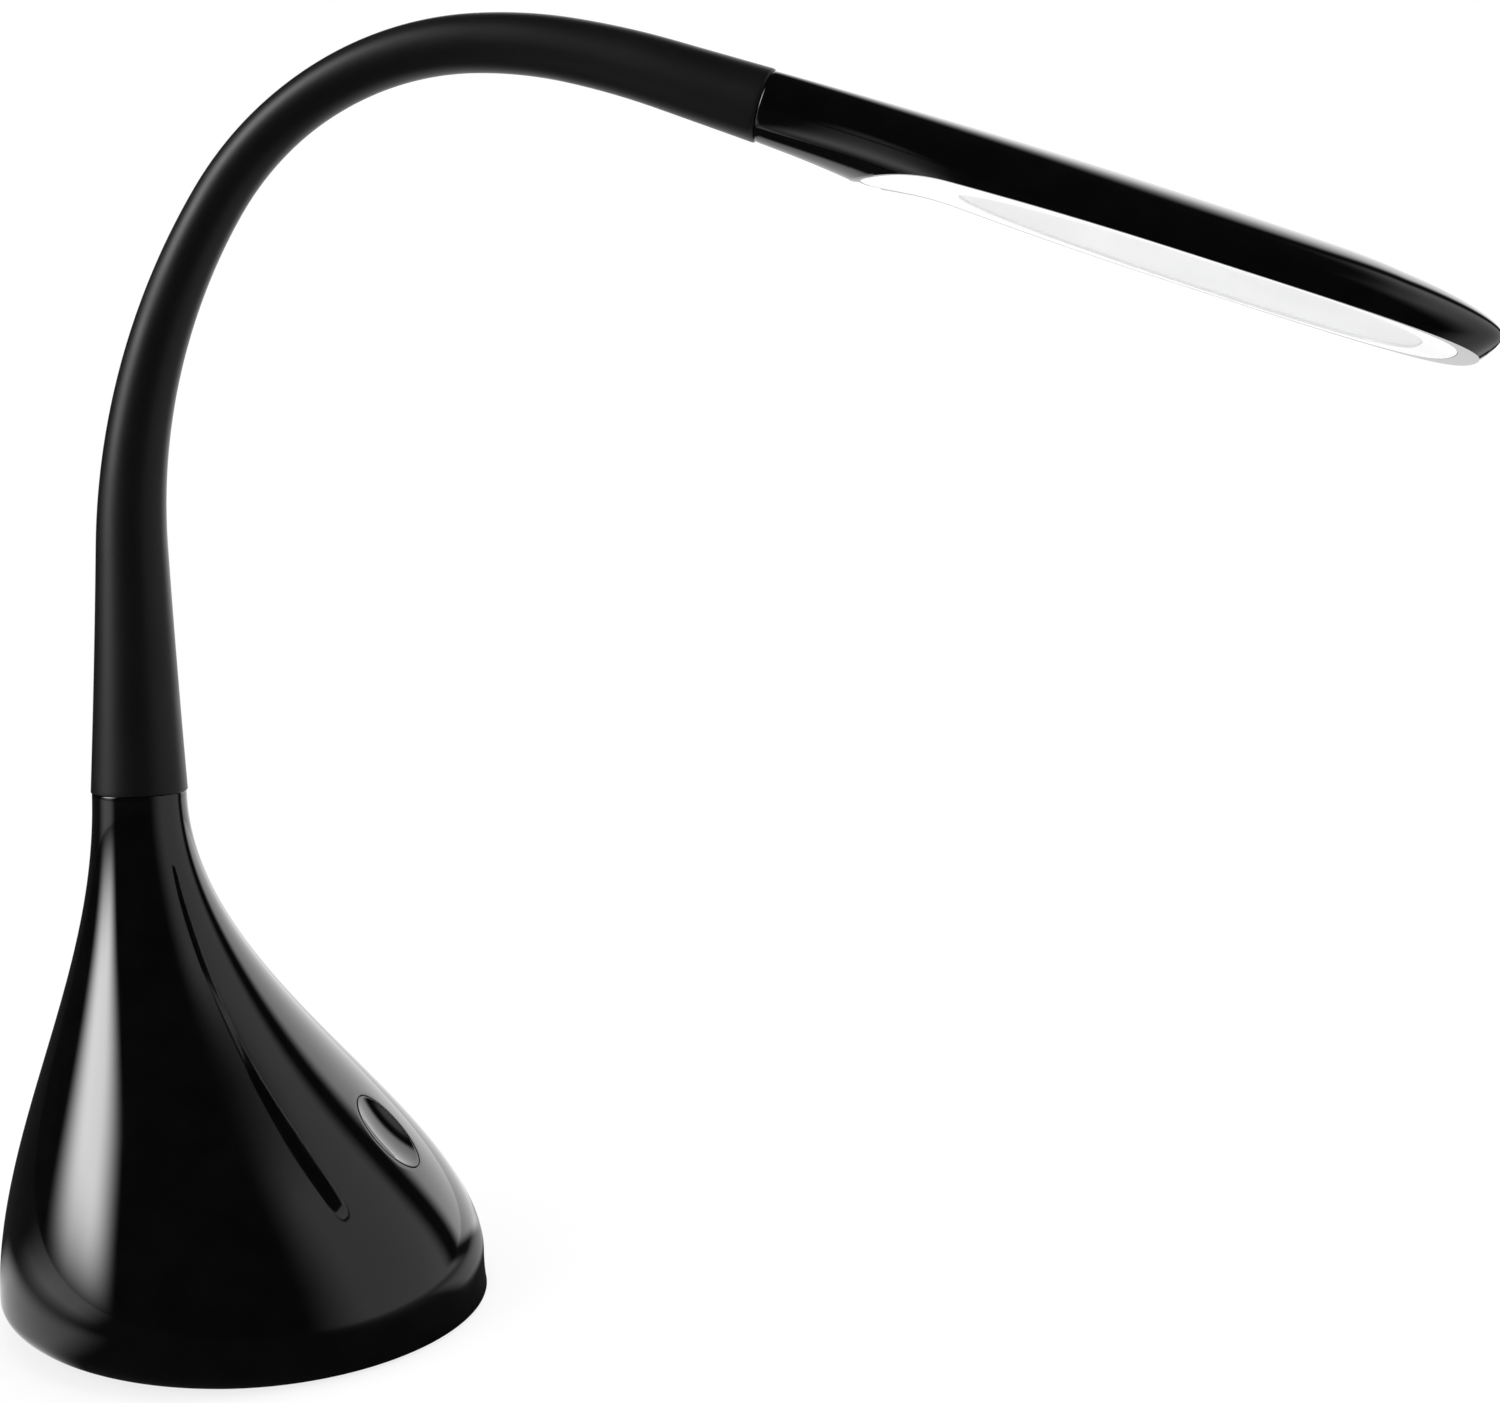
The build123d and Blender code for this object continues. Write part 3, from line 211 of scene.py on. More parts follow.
def math_node(tree: Tree, operation: str, *values: object) -> Socket:
    """Adds a Math node fed by numbers or sockets.

    Args:
        tree: the node tree to add to.
        operation: the node's operation.
        values: a number or a socket for each input.

    Returns:
        The node's result.
    """
    node = tree.nodes.new("ShaderNodeMath")
    node.operation = operation
    for index, value in enumerate(values):
        if isinstance(value, Socket):
            tree.links.new(value, node.inputs[index])
        else:
            node.inputs[index].default_value = value
    return node.outputs[0]


def ramp_node(tree: Tree, value: Socket, start: float, end: float) -> Socket:
    """Adds a smooth step of a socket's value.

    Args:
        tree: the node tree to add to.
        value: the socket.
        start: the value at which the step leaves 0.
        end: the value at which it reaches 1.

    Returns:
        The step.
    """
    node = tree.nodes.new("ShaderNodeMapRange")
    node.interpolation_type = "SMOOTHSTEP"
    node.inputs["From Min"].default_value = start
    node.inputs["From Max"].default_value = end
    tree.links.new(value, node.inputs["Value"])
    return node.outputs["Result"]


def new_group(name: str, size_name: str, size: float) -> Tree:
    """Starts a shader node group that turns a place and a size into one value.

    Args:
        name: the group's name.
        size_name: name of the input for the size.
        size: its usual value in metres.

    Returns:
        The group, with its input and output nodes in place.
    """
    tree = bpy.data.node_groups.new(name, "ShaderNodeTree")
    tree.interface.new_socket("Place", in_out="INPUT", socket_type="NodeSocketVector")
    socket = tree.interface.new_socket(size_name, in_out="INPUT", socket_type="NodeSocketFloat")
    socket.default_value = size
    tree.interface.new_socket("Value", in_out="OUTPUT", socket_type="NodeSocketFloat")
    tree.nodes.new("NodeGroupInput")
    tree.nodes.new("NodeGroupOutput")
    return tree


def pattern_group(tree: Tree, pattern: bpy.types.Node) -> Socket:
    """Feeds a pattern node from its group's inputs: the place, and a scale of one over the size.

    Args:
        tree: the node group.
        pattern: the pattern node in it.

    Returns:
        The pattern's value.
    """
    place, size = tree.nodes["Group Input"].outputs[:2]
    tree.links.new(place, pattern.inputs["Vector"])
    tree.links.new(math_node(tree, "DIVIDE", 1.0, size), pattern.inputs["Scale"])
    return pattern.outputs["Fac"]


def noise_group(name: str, detail: float) -> Tree:
    """A group that gives a soft noise of one grain size.

    Args:
        name: the group's name.
        detail: how many finer layers the noise has.

    Returns:
        The group, with an input Grain, the size of one grain in metres, and an output Value.
    """
    tree = new_group(name, "Grain", MM)
    noise = tree.nodes.new("ShaderNodeTexNoise")
    noise.inputs["Detail"].default_value = detail
    value = ramp_node(tree, pattern_group(tree, noise), *NOISE_SPREAD)
    tree.links.new(value, tree.nodes["Group Output"].inputs["Value"])
    return tree


def lay_group(name: str) -> Tree:
    """A group for wound wire: bands across the length, a little uneven.

    Args:
        name: the group's name.

    Returns:
        The group, with an input Pitch, the width of one band in metres, and an output Value.
    """
    tree = new_group(name, "Pitch", USUAL_PITCH)
    wave = tree.nodes.new("ShaderNodeTexWave")
    wave.wave_type = "BANDS"
    wave.bands_direction = "Z"
    wave.inputs["Distortion"].default_value = WIRE_UNEVENNESS
    tree.links.new(pattern_group(tree, wave), tree.nodes["Group Output"].inputs["Value"])
    return tree


class Effect(Enum):
    """Shared surface effects, by the name of their node group."""

    GRAIN = "moulded_grain"
    SMUDGE = "handling_smudge"
    LAY = "wire_lay"


def build_effects() -> dict[Effect, Tree]:
    """Builds each shared node group once.

    Returns:
        The groups by effect.
    """
    return {
        Effect.GRAIN: noise_group(Effect.GRAIN.value, GRAIN_DETAIL),
        Effect.SMUDGE: noise_group(Effect.SMUDGE.value, SMUDGE_DETAIL),
        Effect.LAY: lay_group(Effect.LAY.value),
    }


def blank_material(name: str) -> bpy.types.Material:
    """Makes a material with its usual Principled surface.

    Args:
        name: the material's name.

    Returns:
        The material.
    """
    made = bpy.data.materials.new(name)
    made.use_nodes = True
    return made


@dataclass(frozen=True)
class Finish:
    """One finish: a Principled surface whose colour, gloss and relief vary over the piece.

    Colours are linear: the surface goes from shade to colour with the grain, and from the first
    roughness to the second with the smudges. Grain, smudge and relief are in millimetres.
    """

    name: str
    colour: Triple
    shade: Triple
    roughness: Pair
    grain: float
    relief: float
    smudge: float = 24.0
    metal: float = 0.0
    refraction: float = 1.5
    soft: float = 0.0
    wound: bool = False
    follows_rest: bool = False

    def build(self, effects: dict[Effect, Tree]) -> bpy.types.Material:
        """Builds the material.

        Args:
            effects: the shared node groups.

        Returns:
            The material, named after the finish.
        """
        made = blank_material(self.name)
        tree = made.node_tree
        surface = tree.nodes["Principled BSDF"]
        place = self._place(tree)
        grain = self._effect(tree, effects[Effect.LAY if self.wound else Effect.GRAIN], place, self.grain)
        smudge = self._effect(tree, effects[Effect.SMUDGE], place, self.smudge)
        mix = tree.nodes.new("ShaderNodeMix")
        mix.data_type = "RGBA"
        mix.inputs["A"].default_value = (*self.shade, 1.0)
        mix.inputs["B"].default_value = (*self.colour, 1.0)
        tree.links.new(grain, mix.inputs["Factor"])
        tree.links.new(mix.outputs["Result"], surface.inputs["Base Color"])
        gloss = tree.nodes.new("ShaderNodeMapRange")
        gloss.inputs["To Min"].default_value = self.roughness[0]
        gloss.inputs["To Max"].default_value = self.roughness[1]
        tree.links.new(smudge, gloss.inputs["Value"])
        tree.links.new(gloss.outputs["Result"], surface.inputs["Roughness"])
        bump = tree.nodes.new("ShaderNodeBump")
        bump.inputs["Distance"].default_value = self.relief * MM
        tree.links.new(grain, bump.inputs["Height"])
        tree.links.new(bump.outputs["Normal"], surface.inputs["Normal"])
        surface.inputs["Metallic"].default_value = self.metal
        surface.inputs["IOR"].default_value = self.refraction
        surface.inputs["Subsurface Weight"].default_value = self.soft
        surface.inputs["Subsurface Scale"].default_value = MM
        made.diffuse_color = (*self.colour, 1.0)
        return made

    def _place(self, tree: Tree) -> Socket:
        """The place on the piece: its Object coordinates, or the place at rest for one that bends.

        Args:
            tree: the material's node tree.

        Returns:
            The place.
        """
        if self.follows_rest:
            source = tree.nodes.new("ShaderNodeAttribute")
            source.attribute_name = REST_PLACE
            return source.outputs["Vector"]
        return tree.nodes.new("ShaderNodeTexCoord").outputs["Object"]

    @staticmethod
    def _effect(tree: Tree, group: Tree, place: Socket, size: float) -> Socket:
        """Places one shared group at a size.

        Args:
            tree: the material's node tree.
            group: the shared group.
            place: the place on the piece.
            size: the pattern's size in millimetres.

        Returns:
            The group's value.
        """
        node = tree.nodes.new("ShaderNodeGroup")
        node.node_tree = group
        node.inputs[1].default_value = size * MM
        tree.links.new(place, node.inputs["Place"])
        return node.outputs["Value"]


class Slot(Enum):
    """The record's material slots."""

    GLOSS_BLACK = "gloss_black"
    BUTTON_BLACK = "button_black"
    COVER_BLACK = "cover_black"
    FOOT_RUBBER = "foot_rubber"
    SOFT_BLACK = "soft_black"
    CAST_IRON = "cast_iron"
    SCREW_STEEL = "screw_steel"
    CIRCUIT_BOARD = "circuit_board"
    LED_BOARD_WHITE = "led_board_white"
    FERRITE = "ferrite"
    CAPACITOR_SLEEVE = "capacitor_sleeve"
    NICKEL = "nickel"
    LEAD_BLACK = "lead_black"
    CONDUIT_STEEL = "conduit_steel"
    WHITE_PLASTIC = "white_plastic"
    FROSTED_WHITE = "frosted_white"
    LED_YELLOW = "led_yellow"
    ALUMINIUM = "aluminium"


FINISHES: dict[Slot, Finish] = {
    Slot.GLOSS_BLACK: Finish(
        "deep_gloss_black", colour=(0.0018, 0.0018, 0.002), shade=(0.0012, 0.0012, 0.0014),
        roughness=(0.03, 0.07), grain=9.0, relief=0.0008,
    ),
    Slot.BUTTON_BLACK: Finish(
        "button_gloss_black", colour=(0.0018, 0.0018, 0.002), shade=(0.0012, 0.0012, 0.0014),
        roughness=(0.04, 0.08), grain=7.0, relief=0.0008,
    ),
    Slot.COVER_BLACK: Finish(
        "fine_matt_black", colour=(0.028, 0.028, 0.03), shade=(0.02, 0.02, 0.022),
        roughness=(0.5, 0.62), grain=0.7, relief=0.03,
    ),
    Slot.FOOT_RUBBER: Finish(
        "foot_rubber_black", colour=(0.022, 0.022, 0.022), shade=(0.014, 0.014, 0.014),
        roughness=(0.7, 0.85), grain=0.5, relief=0.05,
    ),
    Slot.SOFT_BLACK: Finish(
        "soft_sleeve_black", colour=(0.0044, 0.0044, 0.0046), shade=(0.0032, 0.0032, 0.0034),
        roughness=(0.39, 0.45), grain=0.35, relief=0.005, refraction=1.32, follows_rest=True,
    ),
    Slot.CAST_IRON: Finish(
        "rough_cast_iron", colour=(0.1, 0.1, 0.105), shade=(0.05, 0.05, 0.052),
        roughness=(0.6, 0.8), grain=1.4, relief=0.2, metal=0.8,
    ),
    Slot.SCREW_STEEL: Finish(
        "zinc_plate", colour=(0.5, 0.5, 0.51), shade=(0.4, 0.4, 0.41),
        roughness=(0.24, 0.38), grain=0.4, relief=0.008, metal=1.0,
    ),
    Slot.CIRCUIT_BOARD: Finish(
        "green_solder_mask", colour=(0.02, 0.17, 0.075), shade=(0.012, 0.11, 0.05),
        roughness=(0.25, 0.4), grain=1.8, relief=0.01,
    ),
    Slot.LED_BOARD_WHITE: Finish(
        "white_solder_mask", colour=(0.85, 0.86, 0.84), shade=(0.78, 0.79, 0.77),
        roughness=(0.3, 0.45), grain=1.8, relief=0.01,
    ),
    Slot.FERRITE: Finish(
        "dark_component", colour=(0.035, 0.035, 0.036), shade=(0.022, 0.022, 0.023),
        roughness=(0.4, 0.6), grain=0.5, relief=0.02,
    ),
    Slot.CAPACITOR_SLEEVE: Finish(
        "blue_shrink_sleeve", colour=(0.05, 0.07, 0.17), shade=(0.035, 0.05, 0.12),
        roughness=(0.3, 0.4), grain=1.5, relief=0.01,
    ),
    Slot.NICKEL: Finish(
        "bright_nickel", colour=(0.66, 0.64, 0.61), shade=(0.58, 0.56, 0.53),
        roughness=(0.12, 0.22), grain=0.6, relief=0.003, metal=1.0,
    ),
    Slot.LEAD_BLACK: Finish(
        "lead_insulation", colour=(0.02, 0.02, 0.021), shade=(0.014, 0.014, 0.015),
        roughness=(0.45, 0.6), grain=0.8, relief=0.01,
    ),
    Slot.CONDUIT_STEEL: Finish(
        "wound_steel", colour=(0.5, 0.5, 0.51), shade=(0.2, 0.2, 0.21),
        roughness=(0.3, 0.42), grain=4.0, relief=0.15, metal=1.0, wound=True,
    ),
    Slot.WHITE_PLASTIC: Finish(
        "white_moulding", colour=(0.88, 0.88, 0.88), shade=(0.85, 0.85, 0.85),
        roughness=(0.24, 0.34), grain=1.2, relief=0.004,
    ),
    Slot.FROSTED_WHITE: Finish(
        "frosted_lens", colour=(0.84, 0.84, 0.84), shade=(0.81, 0.81, 0.81),
        roughness=(0.42, 0.55), grain=0.3, relief=0.006, soft=0.15,
    ),
    Slot.LED_YELLOW: Finish(
        "led_phosphor", colour=(0.85, 0.72, 0.22), shade=(0.78, 0.64, 0.17),
        roughness=(0.35, 0.5), grain=0.6, relief=0.02,
    ),
    Slot.ALUMINIUM: Finish(
        "plain_aluminium", colour=(0.77, 0.78, 0.79), shade=(0.68, 0.69, 0.7),
        roughness=(0.28, 0.42), grain=0.9, relief=0.006, metal=1.0,
    ),
}


class PaintShop:
    """Builds each finish once and puts it on CAD nodes and new pieces."""

    def __init__(self) -> None:
        """Builds the shared groups and every finish."""
        effects = build_effects()
        self._made = {slot: finish.build(effects) for slot, finish in FINISHES.items()}

    def coat(self, thing: Piece, slot: Slot) -> None:
        """Gives an object one finish."""
        thing.data.materials.clear()
        thing.data.materials.append(self._made[slot])

    def coat_nodes(self, slot: Slot, *nodes: str) -> None:
        """Gives CAD nodes one finish.

        Args:
            slot: the record's slot that their finish comes from.
            nodes: the CAD nodes.
        """
        for node in nodes:
            self.coat(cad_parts[node], slot)
            LOG.info("%s keeps its CAD shape, finish %s", node, slot.value)

    def hand_over(self, thing: Piece, slot: Slot, *nodes: str) -> None:
        """Dresses a new piece and lets it stand for CAD nodes.

        Args:
            thing: the new piece.
            slot: the record's slot that its finish comes from.
            nodes: the CAD nodes that it stands for.
        """
        self.coat(thing, slot)
        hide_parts(*nodes)
        LOG.info("%s: %d faces, stands for %s", thing.name, len(thing.data.polygons), ", ".join(nodes))


# ---- Base ----


@dataclass(frozen=True)
class Opening:
    """An oval hole through the base's wall, on its own plane.

    turn_span and height_span give the block of the wall's grid that makes way for the hole.
    """

    origin: Triple
    across: Triple
    along: Triple
    normal: Triple
    half_across: float
    half_along: float
    lip: float
    turn_span: Pair = (0.0, 0.0)
    height_span: Pair = (0.0, 0.0)

    def flat(self, points: Array) -> Array:
        """Places on the hole's plane, as (across, along), of points in the lamp's frame."""
        away = points - np.array(self.origin)
        return np.stack([away @ np.array(self.across), away @ np.array(self.along)], axis=-1)

    def lift(self, flat: Array) -> Array:
        """Points on the hole's plane in the lamp's frame, from places (across, along)."""
        steps = flat[..., :1] * np.array(self.across) + flat[..., 1:] * np.array(self.along)
        return np.array(self.origin) + steps

    def oval(self, angle: Array, grow: float) -> Array:
        """The hole's outline, grown all round: half-axes times cosine and sine of the angle."""
        return np.array([self.half_across + grow, self.half_along + grow]) * circle(angle)


@dataclass(frozen=True)
class BellForm:
    """The base's outside: round sections that shrink and lean back as they rise."""

    radius: float = 65.0
    height: float = 142.0
    top_radius: float = 12.5
    lean: float = 28.7
    widest_height: float = 9.7
    edge_shrink: float = 11.1
    edge_shift: float = 12.9
    swell_power: float = 0.873
    lean_power: float = 0.806
    bottom: float = 0.8

    def _rise(self, z: Array) -> Array:
        """Share of the way from the widest section to the top."""
        return np.maximum(z - self.widest_height, 0.0) / (self.height - self.widest_height)

    def _tuck(self, z: Array) -> Array:
        """Share of the bottom edge's rounding: a quarter circle from the widest section down."""
        drop = np.clip((self.widest_height - z) / self.widest_height, 0.0, 1.0)
        return 1 - np.sqrt(1 - drop**2)

    def radius_at(self, z: Array) -> Array:
        """Radius of the section at z: a squared cosine of a power of the rise, less the tuck.

        Args:
            z: heights.

        Returns:
            The radius at each height.
        """
        swell = np.cos(np.pi / 2 * self._rise(z) ** self.swell_power) ** 2
        shrink = self.edge_shrink * self._tuck(z)
        return self.top_radius + (self.radius - self.top_radius) * swell - shrink

    def centre_at(self, z: Array) -> Array:
        """X of the section's middle at z: a squared sine leans it back, the tuck moves it forwards.

        Args:
            z: heights.

        Returns:
            The middle's x at each height.
        """
        lean = self.lean * np.sin(np.pi / 2 * self._rise(z) ** self.lean_power) ** 2
        start = self._tuck(np.array(self.bottom))
        return self.edge_shift * (self._tuck(z) - start) - lean

    def point(self, turn: Array, z: Array) -> Array:
        """The surface: the section's middle plus its radius times cosine and sine of the turn.

        Args:
            turn: angles round the section.
            z: heights.

        Returns:
            The points in the lamp's frame.
        """
        radius = self.radius_at(z)
        x = self.centre_at(z) + radius * np.cos(turn)
        y = radius * np.sin(turn)
        return np.stack([x, y, z + 0 * turn], axis=-1)

    def outside(self, points: Array) -> Array:
        """How far points are outside the section at their own height.

        Args:
            points: places in the lamp's frame.

        Returns:
            The distance of each, negative inside.
        """
        z = np.clip(points[..., 2], self.bottom, self.height)
        across = np.hypot(points[..., 0] - self.centre_at(z), points[..., 1])
        return across - self.radius_at(z)

    def normal(self, points: Array) -> Array:
        """Outward direction: the slope of outside() along the three axes, made one long.

        Args:
            points: places on the surface.

        Returns:
            A direction for each place.
        """
        steps = PROBE * np.eye(3)
        slope = np.stack([self.outside(points + s) - self.outside(points - s) for s in steps], axis=-1)
        return slope / np.linalg.norm(slope, axis=-1, keepdims=True)

    def slide(self, points: Array, direction: Triple) -> Array:
        """Slides points along a direction until they lie on the surface.

        Args:
            points: places near the surface.
            direction: a direction that crosses the surface there.

        Returns:
            The places on the surface, by Newton's steps on outside().
        """
        way = np.array(direction)
        for _ in range(SLIDE_STEPS):
            off = self.outside(points)
            slope = (self.outside(points + PROBE * way) - self.outside(points - PROBE * way)) / (2 * PROBE)
            points = points - (off / slope)[..., None] * way
        return points

    def rows(self, edge_rows: int, bell_rows: int, top: float) -> Array:
        """Heights of the grid's rows: even turns round the bottom edge, then even heights.

        Args:
            edge_rows: how many rows go round the bottom edge.
            bell_rows: how many go from the widest section to the top.
            top: height of the last row.

        Returns:
            The heights.
        """
        low = math.acos((self.widest_height - self.bottom) / self.widest_height)
        edge = self.widest_height * (1 - np.cos(np.linspace(low, np.pi / 2, edge_rows)))
        return np.concatenate([edge, np.linspace(self.widest_height, top, bell_rows)[1:]])


# The push button's plane on the front slope: its middle, its outward direction and its long way.
BUTTON_ORIGIN = (33.8978, 0.0, 49.4)
BUTTON_NORMAL = (0.748211, 0.0, 0.663461)
BUTTON_ALONG = (-0.663461, 0.0, 0.748211)


@dataclass(frozen=True)
class BellBase:
    """The gloss base shell with its cover, ring, weight, electronics and inlet.

    top_edge_rings tell how far inward and how far down each ring of the top's rounding lies, as
    shares of top_edge.
    """

    form: BellForm = BellForm()
    wall: float = 3.0
    columns: int = 192
    edge_rows: int = 16
    bell_rows: int = 92
    patch_rings: int = 9
    lip_rings: int = 5
    top_edge: float = 0.4
    top_edge_rings: tuple[Pair, ...] = ((0.12, 0.5), (0.5, 0.12), (1.0, 0.0))
    cover_recess_radius: float = 55.7
    cover_recess_top: float = 3.3
    inner_bottom: float = 3.4
    inner_top: float = 133.0
    collar_radius: float = 7.0
    collar_floor: float = 138.0
    neck_hole_radius: float = 4.2
    diaphragm_bottom: float = 134.0
    openings: tuple[Opening, ...] = (
        Opening(
            BUTTON_ORIGIN, SIDEWAYS, BUTTON_ALONG, BUTTON_NORMAL,
            half_across=8.25, half_along=12.5, lip=0.35,
            turn_span=(math.radians(-18), math.radians(18)), height_span=(32.0, 67.0),
        ),
        Opening(
            (-78.2, 0.0, 24.5), across=(0.0, -1.0, 0.0), along=(0.0, 0.0, 1.0), normal=(-1.0, 0.0, 0.0),
            half_across=5.9, half_along=5.9, lip=0.25,
            turn_span=(math.radians(168), math.radians(192)), height_span=(13.0, 36.5),
        ),
    )

    def _turns(self) -> Array:
        """Angles of the grid's columns, from the side round over the front."""
        return -np.pi / 2 + turns(self.columns)

    def _sheet(self, shape: Shape, rows: Array, inset: float, grown: bool) -> tuple[Array, list[ArrayPair]]:
        """Lays one skin of the shell, with rings of faces round each opening.

        A grid of the bell's surface makes way for each hole. Round the hole, places on its plane
        run evenly from the grid's rectangle to the oval and slide along the normal to the bell.

        Args:
            shape: where the points and faces go.
            rows: heights of the grid's rows.
            inset: how far the skin lies inside the bell's surface.
            grown: whether the oval is grown by the opening's lip.

        Returns:
            The grid's point numbers, and for each opening the ring of numbers at its edge and the
            angles of its points round the oval.
        """
        turn = self._turns()
        grid = self.form.point(turn[None, :], rows[:, None])
        numbers = shape.add(grid - inset * self.form.normal(grid))
        keep = np.ones((len(rows) - 1, self.columns), bool)
        edges = []
        for hole in self.openings:
            left, right = np.searchsorted(turn, hole.turn_span)
            low, high = np.searchsorted(rows, hole.height_span)
            keep[low:high, left:right] = False
            picks = (
                (slice(low, low + 1), slice(left, right)),
                (slice(low, high), slice(right, right + 1)),
                (slice(high, high + 1), slice(right, left, -1)),
                (slice(high, low, -1), slice(left, left + 1)),
            )
            border = np.concatenate([numbers[pick].ravel() for pick in picks])
            frame_flat = hole.flat(np.concatenate([grid[pick].reshape(-1, 3) for pick in picks]))
            angle = np.arctan2(frame_flat[:, 1] / hole.half_along, frame_flat[:, 0] / hole.half_across)
            oval = hole.oval(angle, hole.lip if grown else 0.0)
            share = np.linspace(0, 1, self.patch_rings + 1)[1:, None, None]
            flat = (1 - share) * frame_flat + share * oval
            rings = self.form.slide(hole.lift(flat), hole.normal)
            ring_numbers = shape.add(rings - inset * self.form.normal(rings))
            shape.weave(np.concatenate([border[None], ring_numbers]), around=True)
            edges.append((ring_numbers[-1], angle))
        shape.weave(numbers, around=True, keep=keep)
        return numbers, edges

    def _circles(self, shape: Shape, sizes: list[Pair]) -> Array:
        """Adds level circles round the section's middle, each of a radius and a height.

        Args:
            shape: where the points go.
            sizes: radius and height of each circle.

        Returns:
            The point numbers, one row for each circle.
        """
        turn = self._turns()
        radius, z = np.array(sizes).T[..., None]
        x = self.form.centre_at(z) + radius * np.cos(turn)
        return shape.add(np.stack([x, radius * np.sin(turn), z + 0 * turn], axis=-1))

    def shell(self) -> Piece:
        """The bell with its wall, a rounded lip at each opening, the cover recess and the collar.

        Returns:
            The shell.
        """
        shape = Shape()
        form = self.form
        rows = form.rows(self.edge_rows, self.bell_rows, form.height - self.top_edge)
        outer, outer_edges = self._sheet(shape, rows, 0.0, True)
        inner_rows = rows[(rows > self.inner_bottom) & (rows < self.inner_top)]
        inner, inner_edges = self._sheet(shape, inner_rows, self.wall, False)
        for hole, (start, angle), (end, _) in zip(self.openings, outer_edges, inner_edges):
            bend = quarter(self.lip_rings)[1:]
            grow = hole.lip * (1 - np.sin(bend))
            flat = np.stack([hole.oval(angle, g) for g in grow])
            sunk = hole.lip * (1 - np.cos(bend))[:, None, None] * np.array(hole.normal)
            rings = shape.add(form.slide(hole.lift(flat), hole.normal) - sunk)
            shape.weave(np.concatenate([start[None], rings, end[None]]), around=True)
        recess = self.cover_recess_radius
        bottom = self._circles(shape, [(recess, form.bottom), (recess, self.cover_recess_top)])
        shape.weave(np.concatenate([outer[:1], bottom, inner[:1]]), around=True)
        edge = self.top_edge
        rounding = [
            (form.top_radius - inward * edge, form.height - down * edge)
            for inward, down in self.top_edge_rings
        ]
        top = self._circles(
            shape,
            [
                *rounding,
                (self.collar_radius, form.height),
                (self.collar_radius, self.collar_floor),
                (self.neck_hole_radius, self.collar_floor),
                (self.neck_hole_radius, self.diaphragm_bottom),
            ],
        )
        shape.weave(np.concatenate([outer[-1:], top, inner[-1:]]), around=True)
        return shape.build("bell_shell")

    def dress(self, shop: PaintShop) -> None:
        """Builds the shell and finishes every node of the base.

        Args:
            shop: what coats the pieces.
        """
        shell = self.shell()
        shop.hand_over(shell, Slot.GLOSS_BLACK, "base_shell")
        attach(shell, "base")
        shop.coat_nodes(Slot.COVER_BLACK, "base_cover", "power_jack")
        shop.coat_nodes(Slot.FOOT_RUBBER, "non_slip_ring")
        shop.coat_nodes(Slot.CAST_IRON, "ballast_weight")
        shop.coat_nodes(
            Slot.SCREW_STEEL, "cover_screws", "ballast_screws", "control_board_screws", "switch_board_screws",
            "lower_ferrule_washer", "lower_ferrule_nut", "jack_nut",
        )
        shop.coat_nodes(Slot.CIRCUIT_BOARD, "control_board", "switch_board")
        shop.coat_nodes(Slot.FERRITE, "driver_inductor", "driver_chip", "tact_switch")
        shop.coat_nodes(Slot.CAPACITOR_SLEEVE, "driver_capacitors")
        shop.coat_nodes(Slot.NICKEL, "lower_ferrule")
        shop.coat_nodes(Slot.LEAD_BLACK, "jack_lead", "switch_lead", "feed_lead")


